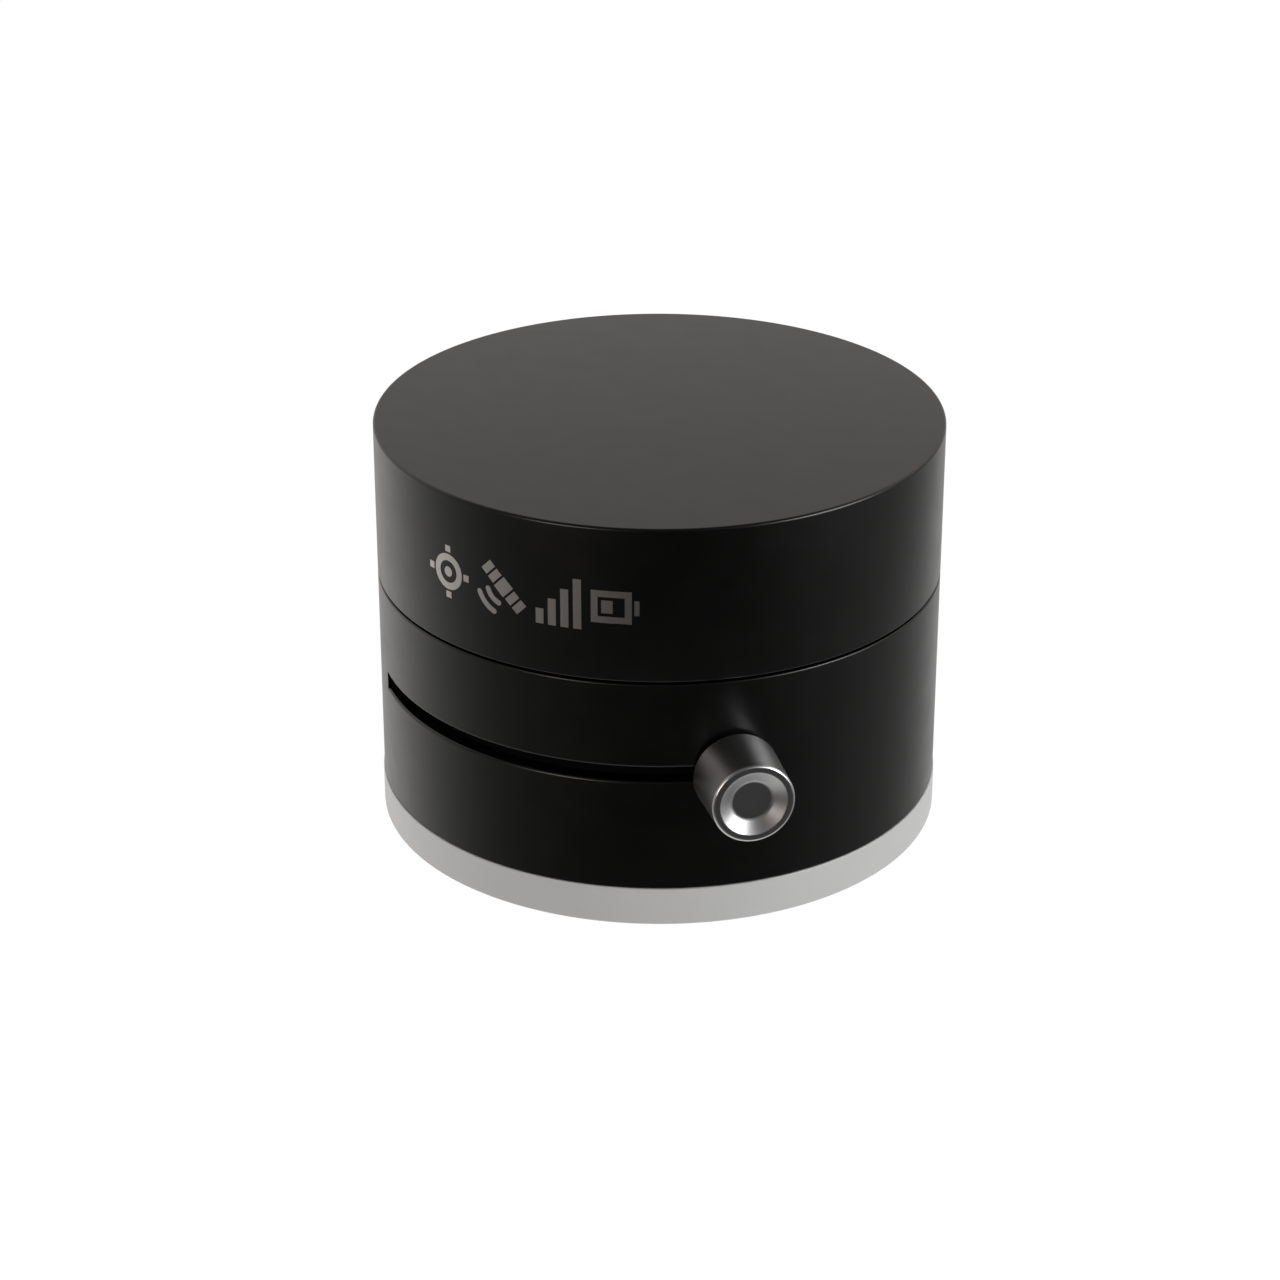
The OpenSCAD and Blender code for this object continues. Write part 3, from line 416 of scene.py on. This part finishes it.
def turned(name, color, rough, centre, axis):
    """Lathe-turned metal: fine rings round an axis, seen on end faces and along the side."""
    m = Mat(name, color, rough, metal=1.0)
    ax = Vector(axis).normalized()
    sub = m.n("ShaderNodeVectorMath", operation="SUBTRACT")
    m.link(m.coord.outputs["Object"], sub.inputs[0])
    sub.inputs[1].default_value = centre
    dot = m.n("ShaderNodeVectorMath", operation="DOT_PRODUCT")
    m.link(sub.outputs[0], dot.inputs[0])
    dot.inputs[1].default_value = ax
    along = dot.outputs["Value"]
    sc = m.n("ShaderNodeVectorMath", operation="SCALE")
    sc.inputs[0].default_value = ax
    m.link(along, sc.inputs["Scale"])
    rad = m.n("ShaderNodeVectorMath", operation="SUBTRACT")
    m.link(sub.outputs[0], rad.inputs[0])
    m.link(sc.outputs[0], rad.inputs[1])
    ln = m.n("ShaderNodeVectorMath", operation="LENGTH")
    m.link(rad.outputs[0], ln.inputs[0])
    radial = ln.outputs["Value"]
    # one coordinate that changes across both the end face and the side
    w = m.math("ADD", m.math("MULTIPLY", radial, 1.0), m.math("MULTIPLY", along, 1.7))
    fine = m.noise(9000, 2, 0.6, dims="1D", w=w)
    wide = m.noise(1500, 2, 0.6, dims="1D", w=w)
    m.vary_rough(m.math("ADD", m.math("MULTIPLY", fine, 0.3), m.math("MULTIPLY", m.noise(700, 3), 0.7)), 0.3, 0.7, rough - 0.006, rough + 0.006)
    m.vary_color(m.noise(500, 3), 0.3, 0.7, tuple(c * 0.985 for c in color), tuple(c * 1.015 for c in color))
    m.bump(wide, 0.00000004)
    return m


KNOB_AXIS = polar(1, KNOB_AZ, 0)
BUTTON_AXIS = polar(1, BUTTON_AZ, 0)
KNOB = turned("turned_knob", (0.68, 0.68, 0.685), 0.31, polar(0.067, KNOB_AZ, KNOB_Z), KNOB_AXIS)
# painted shade: the dish slope and the flat rim and middle use copies of the knob metal with darker base colours
KNOB_DISH_ROUGH_PAINTED_SHADE = turned("turned_knob_dish_painted_shade", (0.58, 0.58, 0.585), 0.40, polar(0.067, KNOB_AZ, KNOB_Z), KNOB_AXIS)
KNOB_FACE_PAINTED_SHADE = turned("turned_knob_face_painted_shade", (0.42, 0.42, 0.424), 0.31, polar(0.067, KNOB_AZ, KNOB_Z), KNOB_AXIS)
BUTTON = turned("turned_button", (0.56, 0.565, 0.575), 0.30, polar(0.06, BUTTON_AZ, PORT_Z), BUTTON_AXIS)


def board(name, mask, copper):
    """Solder mask over copper: tracks show as a slightly lighter grid of lines, with pads in between."""
    m = Mat(name, mask, 0.28, ior=1.55)
    x, y, z = m.xyz()
    wob = m.math("MULTIPLY", m.noise(90, 1), 0.004)
    fx = m.math("FRACT", m.math("MULTIPLY", m.math("ADD", x, wob), 420))
    fy = m.math("FRACT", m.math("MULTIPLY", m.math("SUBTRACT", y, wob), 420))
    gate = m.math("GREATER_THAN", m.noise(110, 0), 0.52)
    lx = m.math("MULTIPLY", m.math("LESS_THAN", fx, 0.28), gate)
    ly = m.math("MULTIPLY", m.math("LESS_THAN", fy, 0.28), m.math("SUBTRACT", 1.0, gate))
    tr = m.math("MAXIMUM", lx, ly)
    mixn = m.n("ShaderNodeMix", data_type="RGBA")
    m.link(tr, mixn.inputs[0])
    mixn.inputs[6].default_value = (*mask, 1)
    mixn.inputs[7].default_value = (*copper, 1)
    m.link(mixn.outputs[2], m.bsdf.inputs["Base Color"])
    m.bump(tr, 0.00003)
    return m


GREEN = board("green_board", (0.012, 0.09, 0.035), (0.03, 0.17, 0.07))
BLUE = board("blue_board", (0.010, 0.045, 0.11), (0.03, 0.10, 0.20))

CERAMIC = Mat("silvered_ceramic", (0.66, 0.60, 0.46), 0.4)
CERAMIC.vary_color(CERAMIC.noise(700, 5), 0.3, 0.7, (0.60, 0.54, 0.41), (0.72, 0.66, 0.52))
CERAMIC.bump(CERAMIC.noise(4000, 3), 0.00001)
FLEX = Mat("copper_film", (0.5, 0.2, 0.05), 0.3)
FLEX.vary_color(FLEX.noise(400, 2), 0.3, 0.7, (0.45, 0.17, 0.04), (0.56, 0.24, 0.07))
CELL = Mat("shrink_sleeve", (0.03, 0.10, 0.24), 0.22)
CELL.vary_color(CELL.noise(120, 3), 0.3, 0.7, (0.028, 0.09, 0.22), (0.035, 0.11, 0.27))
CELL.bump(CELL.noise(250, 2), 0.00003)
WIRE = Mat("wire_insulation", (0.4, 0.015, 0.012), 0.4)
WIRE.vary_color(WIRE.noise(500, 2), 0.3, 0.7, (0.34, 0.012, 0.01), (0.45, 0.02, 0.016))
LENS = Mat("frosted_lens", (0.45, 0.60, 0.52), 0.3)
LENS.vary_color(LENS.noise(900, 2), 0.3, 0.7, (0.38, 0.52, 0.45), (0.52, 0.68, 0.6))
LENS.bump(LENS.noise(3000, 2), 0.00001)
PRINT = Mat("silver_print", (0.66, 0.64, 0.61), 0.30, metal=0.99)
PRINT.vary_color(PRINT.noise(3000, 3), 0.3, 0.7, (0.63, 0.61, 0.58), (0.69, 0.67, 0.64))
PRINT.bump(PRINT.noise(5000, 3), 0.0000006)

MATS = {
    "mounting_plate": PLATE, "pole_thread_insert": BRASS, "lock_studs": STEEL, "stud_screws": DARK_STEEL,
    "grip_ring": RUBBER, "seat_gasket": RUBBER, "housing": HOUSING, "radome": RADOME, "glide_ring": WHITE,
    "retaining_ring": DARK_STEEL, "detent_plunger": STEEL, "housing_screws": DARK_STEEL, "electronics_tub": TUB,
    "tub_oring": RUBBER, "radome_screws": STEEL, "radome_oring": RUBBER, "pillar_orings": RUBBER,
    "ground_plate": ALU, "ground_plate_screws": STEEL, "lna_board": GREEN, "lna_standoffs": BRASS,
    "lna_screws": STEEL, "lna_shield": TIN, "patch_lower": CERAMIC, "patch_upper": CERAMIC,
    "patch_feed_pins": BRASS, "choke_ring": ALU, "choke_screws": STEEL, "wireless_antenna": FLEX,
    "antenna_coax": BRASS, "main_board": BLUE, "board_spacers": BRASS, "board_screws": STEEL,
    "gnss_module": TIN, "modem_module": TIN, "board_chips": CHIP, "usb_socket": TIN, "sim_socket": TIN,
    "power_switch": CHIP, "battery_cells": CELL, "battery_tray": DARK, "battery_strap": DARK,
    "battery_lead": WIRE, "port_bezel": DARK, "port_gasket": RUBBER, "status_lenses": LENS,
    "button_bush": DARK, "lock_drum": DRUM, "knob_stud": STEEL, "knob": KNOB, "knob_washer": DARK,
    "port_door": HOUSING, "door_hinge_pin": STEEL, "power_button": BUTTON, "button_oring": RUBBER,
    "button_clip": STEEL,
}
for name, o in frame["nodes"].items():
    mat = MATS[name].m
    o.data.materials.clear()
    o.data.materials.append(mat)

# ---- shells whose small roundings are shaded exactly ---------------------------------------
# The tessellated roundings are fine in shape, but their corner normals break up in the light.
# Each shell is shown by a copy that carries the true normals of its walls and roundings.


def shaded_shell(name, node_name, body, mat, wall, arcs):
    """arcs: (centre radius, centre height, radius, +1 for an upper and -1 for a lower corner), in mm."""
    me = frame["nodes"][node_name].data.copy()
    me.name = name
    want = [tuple(c.vector) for c in me.corner_normals]
    for p in me.polygons:
        fn = p.normal
        for li in p.loop_indices:
            c = me.vertices[me.loops[li].vertex_index].co
            r = math.hypot(c.x, c.y)
            rm, zm = r / MM, c.z / MM
            if rm < wall - 1.2:
                continue
            n = None
            for rc, zc, rad, sz in arcs:
                dr, dz = rm - rc, (zm - zc) * sz
                k = math.hypot(dr, dz)
                if dr > -0.02 and dz > -0.02 and abs(k - rad) < 0.03:
                    n = (dr / k, dz * sz / k)
                    break
            if n is None and abs(rm - wall) < 0.012:
                n = (1.0, 0.0)
            if n is None:
                continue
            v = Vector((n[0] * c.x / r, n[0] * c.y / r, n[1]))
            if v.dot(fn) > 0.8 or p.area < 1e-11:
                want[li] = tuple(v)
    me.polygons.foreach_set("use_smooth", [True] * len(me.polygons))
    me.normals_split_custom_set(want)
    me.update()
    o = bpy.data.objects.new(name, me)
    scene.collection.objects.link(o)
    me.materials.clear()
    me.materials.append(mat)
    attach(o, body)
    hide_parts(node_name)
    return o


def body_of(node_name):
    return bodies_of(frame["nodes"][node_name])[0]


shaded_shell("housing_shell", "housing", body_of("housing"), HOUSING.m, 60.0,
             [(59.62, 54.62, 0.38, 1), (59.7, 8.8, 0.3, -1), (59.4, 36.95, 0.6, -1), (59.4, 32.55, 0.6, 1)])
shaded_shell("plate_body", "mounting_plate", body_of("mounting_plate"), PLATE.m, 60.2,
             [(59.9, 8.2, 0.3, 1), (59.9, 0.5, 0.3, -1)])


def lathe(name, profile, origin, axis, body, mat, segments=192, sharp=35):
    """Closed profile [(radius, distance along the axis)] in mm, turned round the axis. Points at radius 0 become poles."""
    ax = Vector(axis).normalized()
    side = ax.cross(Vector((0, 0, 1)) if abs(ax.z) < 0.9 else Vector((0, 1, 0))).normalized()
    upv = side.cross(ax).normalized()
    bm = bmesh.new()
    rings = []
    for r, d in profile:
        c = Vector(origin) + ax * d * MM
        if r < 1e-6:
            rings.append([bm.verts.new(c)])
        else:
            rings.append([bm.verts.new(c + (side * math.cos(2 * math.pi * k / segments) + upv * math.sin(2 * math.pi * k / segments)) * r * MM)
                          for k in range(segments)])
    pairs = list(zip(rings, rings[1:]))
    if len(rings[0]) > 1:
        pairs.append((rings[-1], rings[0]))
    for a, b in pairs:
        for k in range(segments):
            k2 = (k + 1) % segments
            if len(a) == 1 and len(b) == 1:
                break
            if len(a) == 1:
                bm.faces.new((a[0], b[k], b[k2]))
            elif len(b) == 1:
                bm.faces.new((a[k], b[0], a[k2]))
            else:
                bm.faces.new((a[k], b[k], b[k2], a[k2]))
    bmesh.ops.recalc_face_normals(bm, faces=bm.faces[:])
    for f in bm.faces:
        f.smooth = True
    for e in bm.edges:
        if len(e.link_faces) == 2 and e.calc_face_angle(0) > math.radians(sharp):
            e.smooth = False
    me = bpy.data.meshes.new(name)
    bm.to_mesh(me)
    bm.free()
    o = bpy.data.objects.new(name, me)
    scene.collection.objects.link(o)
    me.materials.append(mat)
    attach(o, body)
    return o


def corner(points, i, r, n=10):
    """A rounded corner of radius r at points[i] of an open path, as n + 1 points."""
    a, b, c = Vector(points[i - 1]), Vector(points[i]), Vector(points[i + 1])
    u1, u2 = (a - b).normalized(), (c - b).normalized()
    half = u1.angle(u2) / 2
    t = r / math.tan(half)
    p1, p2 = b + u1 * t, b + u2 * t
    centre = b + (u1 + u2).normalized() * (r / math.sin(half))
    v1, v2 = p1 - centre, p2 - centre
    total = v1.angle(v2)
    sgn = 1 if v1.x * v2.y - v1.y * v2.x > 0 else -1
    out = []
    for k in range(n + 1):
        g = sgn * total * k / n
        out.append((centre.x + v1.x * math.cos(g) - v1.y * math.sin(g), centre.y + v1.x * math.sin(g) + v1.y * math.cos(g)))
    return out


# the radome: one turned shell with its spigot and seal groove, six screw bosses and six ribs inside
RT, RB, RW, RS = 88.7, 55.5, 60.0, 57.4
path = [(0.0, RT), (RW, RT), (RW, RB), (56.8, RB), (56.8, 50.6), (54.3, 50.6), (54.3, 59.0), (RS, 59.0), (RS, RT - 2.6), (0.0, RT - 2.6)]
profile = [(0.0, RT)] + corner(path, 1, 0.6, 12) + corner(path, 2, 0.38, 8)
profile += [(56.8, RB), (56.8, 54.3), (55.35, 54.3), (55.35, 52.3), (56.8, 52.3), (56.8, 51.0), (56.4, 50.6), (54.3, 50.6), (54.3, 59.0), (RS, 59.0)]
profile += corner(path, 8, 3.0, 8) + [(0.0, RT - 2.6)]
shell = lathe("radome_shell", profile, (0, 0, 0), (0, 0, 1), body_of("radome"), RADOME.m, segments=384)
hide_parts("radome")
bm = bmesh.new()
bm.from_mesh(shell.data)
for i in range(6):
    az = i * 60 + 30
    rings = []
    for r, z in ((2.4, 50.75), (2.4, 61.0), (2.05, 61.35), (1.1, 61.35), (1.1, 50.75)):
        rings.append([bm.verts.new(polar(0.0529, az, z * MM) + Vector((r * MM * math.cos(a * math.pi / 16), r * MM * math.sin(a * math.pi / 16), 0))) for a in range(32)])
    made = []
    for a, b in zip(rings, rings[1:] + rings[:1]):
        made += [bm.faces.new((a[k], b[k], b[(k + 1) % 32], a[(k + 1) % 32])) for k in range(32)]
    bmesh.ops.recalc_face_normals(bm, faces=made)
    rib = bmesh.ops.create_cube(bm, size=1.0)["verts"]
    turn = Matrix.Rotation(math.radians(i * 60), 4, "Z")
    for v in rib:
        v.co = turn @ Vector((0.0, -(0.036 + v.co.x * 0.040), 0)) + turn @ Vector((v.co.y * 0.0014, 0, 0)) + Vector((0, 0, 0.0848 + v.co.z * 0.0028))
    edges = {e for v in rib for e in v.link_edges if e.other_vert(v) in rib}
    bmesh.ops.bevel(bm, geom=list(edges), offset=0.0003, segments=2, affect="EDGES")
bm.to_mesh(shell.data)
bm.free()

K_BASE, K_R1, K_R2, K_END, K_DISH = 60.86, 8.9, 8.5, 74.5, 1.7
path = [(K_R1 - 0.3, K_BASE), (K_R1, K_BASE + 0.3), (K_R2, K_END), (6.95, K_END), (4.3, K_END - K_DISH), (0.0, K_END - K_DISH)]
profile = [(0.0, 71.3), (1.5, 71.3), (1.5, K_BASE), (K_R1 - 0.3, K_BASE), (K_R1, K_BASE + 0.3)]
profile += corner(path, 2, 0.6, 12) + corner(path, 3, 0.4, 8) + corner(path, 4, 1.5, 12)
profile += [(0.0, K_END - K_DISH)]
knob_piece = lathe("knob_turned", profile, Vector((0, 0, KNOB_Z)), KNOB_AXIS, body_of("knob"), KNOB.m)
# the slope of the dish is finished rougher than the side, and its darker base colour is painted shade; the flat rim
# and middle get a darker base colour, also painted shade
knob_piece.data.materials.append(KNOB_DISH_ROUGH_PAINTED_SHADE.m)
knob_piece.data.materials.append(KNOB_FACE_PAINTED_SHADE.m)
for p in knob_piece.data.polygons:
    rel = p.center - Vector((0, 0, KNOB_Z))
    d = rel.dot(KNOB_AXIS) / MM
    r = (rel - Vector(KNOB_AXIS) * d * MM).length / MM
    if d > K_END - K_DISH - 0.05 and p.normal.dot(Vector(KNOB_AXIS)) > 0.995:
        p.material_index = 2
    elif d > K_END - K_DISH - 0.05 and 3.4 < r < 6.93:
        p.material_index = 1
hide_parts("knob")

# ---- pictograms printed on the radome -------------------------------------------------------
# Plain signs of our own: a sight, an orbit, signal bars. Each is made of flat outlines on a
# plane in millimetres, cut fine and then laid on the wall.

PRINT_T = 0.00004


def wrap_print(name, shapes, r, az0, z0, body, mat, lift=PRINT_T):
    """Closed outlines [(outer, [holes])] in mm, laid on a cylinder of radius r with the plane's origin at az0, z0."""
    bm = bmesh.new()
    for outer, holes in shapes:
        edges = []
        for loop in [outer] + holes:
            vs = [bm.verts.new((p[0], p[1], 0)) for p in loop]
            edges += [bm.edges.new((vs[i], vs[(i + 1) % len(vs)])) for i in range(len(vs))]
        bmesh.ops.triangle_fill(bm, edges=edges, use_beauty=True, use_dissolve=False)
    # cut by vertical planes so that the faces follow the wall
    xs = [v.co.x for v in bm.verts]
    x = min(xs) + 0.7
    while x < max(xs):
        geom = bm.verts[:] + bm.edges[:] + bm.faces[:]
        bmesh.ops.bisect_plane(bm, geom=geom, dist=1e-5, plane_co=(x, 0, 0), plane_no=(1, 0, 0))
        x += 0.7
    for f in bm.faces:
        f.normal_update()
        if f.normal.z < 0:
            f.normal_flip()
    top = bm.faces[:]
    ret = bmesh.ops.extrude_face_region(bm, geom=top)
    new_v = [g for g in ret["geom"] if isinstance(g, bmesh.types.BMVert)]
    for v in new_v:
        v.co.z = 1.0
    bmesh.ops.recalc_face_normals(bm, faces=bm.faces[:])
    for v in bm.verts:
        rr = r + (lift if v.co.z > 0.5 else -0.00012)
        v.co = polar(rr, az0 + math.degrees(v.co.x * MM / r), z0 + v.co.y * MM)
    bmesh.ops.recalc_face_normals(bm, faces=bm.faces[:])
    me = bpy.data.meshes.new(name)
    bm.to_mesh(me)
    bm.free()
    o = bpy.data.objects.new(name, me)
    scene.collection.objects.link(o)
    me.materials.append(mat)
    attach(o, body)
    return o


def circle(cx, cy, r, n=48, a0=0.0, a1=360.0):
    full = abs(a1 - a0) >= 360
    return [(cx + r * math.cos(math.radians(a0 + (a1 - a0) * i / (n if full else n - 1))),
             cy + r * math.sin(math.radians(a0 + (a1 - a0) * i / (n if full else n - 1)))) for i in range(n)]


def ring2(cx, cy, r, w, n=56):
    return (circle(cx, cy, r + w / 2, n), [circle(cx, cy, r - w / 2, n)[::-1]])


def bar(x0, y0, x1, y1):
    return ([(x0, y0), (x1, y0), (x1, y1), (x0, y1)], [])


def arc(cx, cy, r, w, a0, a1, n=24):
    """A thick arc with round ends."""
    outer = circle(cx, cy, r + w / 2, n, a0, a1)
    inner = circle(cx, cy, r - w / 2, n, a1, a0)
    e1 = (cx + r * math.cos(math.radians(a1)), cy + r * math.sin(math.radians(a1)))
    e0 = (cx + r * math.cos(math.radians(a0)), cy + r * math.sin(math.radians(a0)))
    cap1 = circle(e1[0], e1[1], w / 2, 10, a1, a1 + 180)[1:-1]
    cap0 = circle(e0[0], e0[1], w / 2, 10, a0 + 180, a0 + 360)[1:-1]
    return (outer + cap1 + inner + cap0, [])


def disc(cx, cy, r, n=40):
    return (circle(cx, cy, r, n), [])


def turned_poly(points, cx, cy, deg):
    a = math.radians(deg)
    return ([(cx + x * math.cos(a) - y * math.sin(a), cy + x * math.sin(a) + y * math.cos(a)) for x, y in points], [])


icons = []
# a sight: ring, dot and four ticks that stand clear of the ring
cx, cy = 5.8, 5.5
icons += [ring2(cx, cy, 3.15, 1.5), disc(cx, cy, 1.1)]
icons += [bar(cx - 0.75, cy + 4.35, cx + 0.75, cy + 5.75), bar(cx - 0.75, cy - 5.75, cx + 0.75, cy - 4.35)]
icons += [bar(cx + 4.35, cy - 0.75, cx + 5.75, cy + 0.75), bar(cx - 5.75, cy - 0.75, cx - 4.35, cy + 0.75)]
# a satellite on the slant, with two arcs below it
cx, cy = 20.3, 6.2


def box_at(x0, y0, x1, y1):
    return turned_poly([(x0, y0), (x1, y0), (x1, y1), (x0, y1)], cx, cy, -45)


icons += [box_at(-1.5, -1.7, 1.5, 1.7), box_at(-5.9, -1.5, -4.2, 1.5), box_at(-3.7, -1.5, -2.0, 1.5),
          box_at(2.0, -1.5, 3.7, 1.5), box_at(4.2, -1.5, 5.9, 1.5)]
icons += [arc(cx, cy, 3.9, 1.25, 198, 252, 20), arc(cx, cy, 6.3, 1.25, 202, 248, 26)]
# rising bars
x = 27.6
for i, h in enumerate((3.3, 5.8, 8.3, 10.8)):
    icons += [bar(x + i * 2.65, 0.1, x + i * 2.65 + 1.7, 0.1 + h)]
# a battery lying on its side
x = 39.2
icons += [([(x, 2.0), (x + 8.2, 2.0), (x + 8.2, 9.0), (x, 9.0)], [[(x + 1.4, 7.6), (x + 6.8, 7.6), (x + 6.8, 3.4), (x + 1.4, 3.4)]]),
          bar(x + 8.7, 3.9, x + 9.7, 7.1), bar(x + 2.1, 4.1, x + 4.4, 6.9)]
wrap_print("radome_pictograms", icons, R, -50.7, 0.0662, "receiver", PRINT.m)

# the same kind of small print at the back: a power sign over the button, a sign over each lamp
lamp_lo, lamp_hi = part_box("status_lenses")
small = [arc(0, 0, 1.25, 0.42, 125, 415, 36), bar(-0.21, 0.2, 0.21, 1.75)]
wrap_print("power_sign", small, R, BUTTON_AZ, PORT_Z + 0.0058, body_of("housing"), PRINT.m)


lamps = [BUTTON_AZ + 9, BUTTON_AZ + 12.6, BUTTON_AZ + 16.2]
mid = sum(lamps) / len(lamps)
marks = []
for k, a in enumerate(lamps):
    x = math.radians(a - mid) * R / MM
    if k == 0:
        marks += [([(x - 1.0, -0.6), (x + 0.8, -0.6), (x + 0.8, 0.6), (x - 1.0, 0.6)], [[(x - 0.75, 0.35), (x + 0.55, 0.35), (x + 0.55, -0.35), (x - 0.75, -0.35)]]),
                  bar(x + 0.88, -0.28, x + 1.08, 0.28)]
    elif k == 1:
        marks += [disc(x, 0, 0.3, 20), ring2(x, 0, 0.85, 0.26, 32)]
    else:
        marks += [bar(x - 0.95, -0.7, x - 0.5, -0.2), bar(x - 0.25, -0.7, x + 0.2, 0.3), bar(x + 0.45, -0.7, x + 0.9, 0.8)]
wrap_print("lamp_signs", marks, R, mid, lamp_hi.z + 0.0026, body_of("housing"), PRINT.m)


def threaded_insert():
    """The brass insert with a real helical thread: crest radius 6.75, root 7.85, 11 turns to the inch."""
    n, pitch, crest, root, h = 144, 25.4 / 11, 6.75, 7.85, 15.0
    z0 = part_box("pole_thread_insert")[0].z / MM
    outer = [(14.7, 0.0), (15.0, 0.3), (15.0, 1.6), (11.5, 1.6), (11.5, 5.0), (10.9, 5.0), (10.9, 6.0), (11.5, 6.0), (11.5, 9.0), (10.9, 9.0),
             (10.9, 10.0), (11.5, 10.0), (11.5, h)]
    steps = 156
    bm = bmesh.new()
    rings = []
    for r, z in outer:
        rings.append([bm.verts.new((r * MM * math.cos(2 * math.pi * k / n), r * MM * math.sin(2 * math.pi * k / n), (z0 + z) * MM)) for k in range(n)])
    for i in range(steps, -1, -1):
        z = h * i / steps
        lead = min(1.0, max(0.0, min(z, h - z) / 1.0))
        ringv = []
        for k in range(n):
            ph = (z / pitch - k / n) % 1.0
            tri = 1 - abs(2 * ph - 1)
            depth = min(1.0, max(0.0, (tri - 0.08) / 0.80))
            r = crest + (root - crest) * (depth if lead >= 1 else 1 - (1 - depth) * lead)
            a = 2 * math.pi * k / n
            ringv.append(bm.verts.new((r * MM * math.cos(a), r * MM * math.sin(a), (z0 + z) * MM)))
        rings.append(ringv)
    for a, b in zip(rings, rings[1:] + rings[:1]):
        for k in range(n):
            k2 = (k + 1) % n
            bm.faces.new((a[k], b[k], b[k2], a[k2]))
    bmesh.ops.recalc_face_normals(bm, faces=bm.faces[:])
    me = bpy.data.meshes.new("threaded_insert")
    bm.to_mesh(me)
    bm.free()
    o = bpy.data.objects.new("threaded_insert", me)
    scene.collection.objects.link(o)
    me.materials.append(BRASS.m)
    # four spanner holes in the flange
    bm = bmesh.new()
    for q in range(4):
        a = math.radians(90 * q + 45)
        bmesh.ops.create_cone(bm, cap_ends=True, segments=32, radius1=0.0009, radius2=0.0009, depth=0.0018,
                              matrix=Matrix.Translation((0.013 * math.cos(a), 0.013 * math.sin(a), z0 * MM)))
    cut = bpy.data.meshes.new("cutter")
    bm.to_mesh(cut)
    bm.free()
    c = bpy.data.objects.new("cutter", cut)
    scene.collection.objects.link(c)
    mod = o.modifiers.new("holes", "BOOLEAN")
    mod.operation = "DIFFERENCE"
    mod.solver = "EXACT"
    mod.object = c
    bpy.context.view_layer.update()
    done = bpy.data.meshes.new_from_object(o.evaluated_get(bpy.context.evaluated_depsgraph_get()))
    o.modifiers.clear()
    o.data = done
    bpy.data.objects.remove(c)
    bm = bmesh.new()
    bm.from_mesh(o.data)
    for f in bm.faces:
        f.smooth = True
    for e in bm.edges:
        if len(e.link_faces) == 2 and e.calc_face_angle(0) > math.radians(32):
            e.smooth = False
    bm.to_mesh(o.data)
    bm.free()
    o.data.materials.clear()
    o.data.materials.append(BRASS.m)
    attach(o, body_of("pole_thread_insert"))
    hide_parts("pole_thread_insert")


threaded_insert()
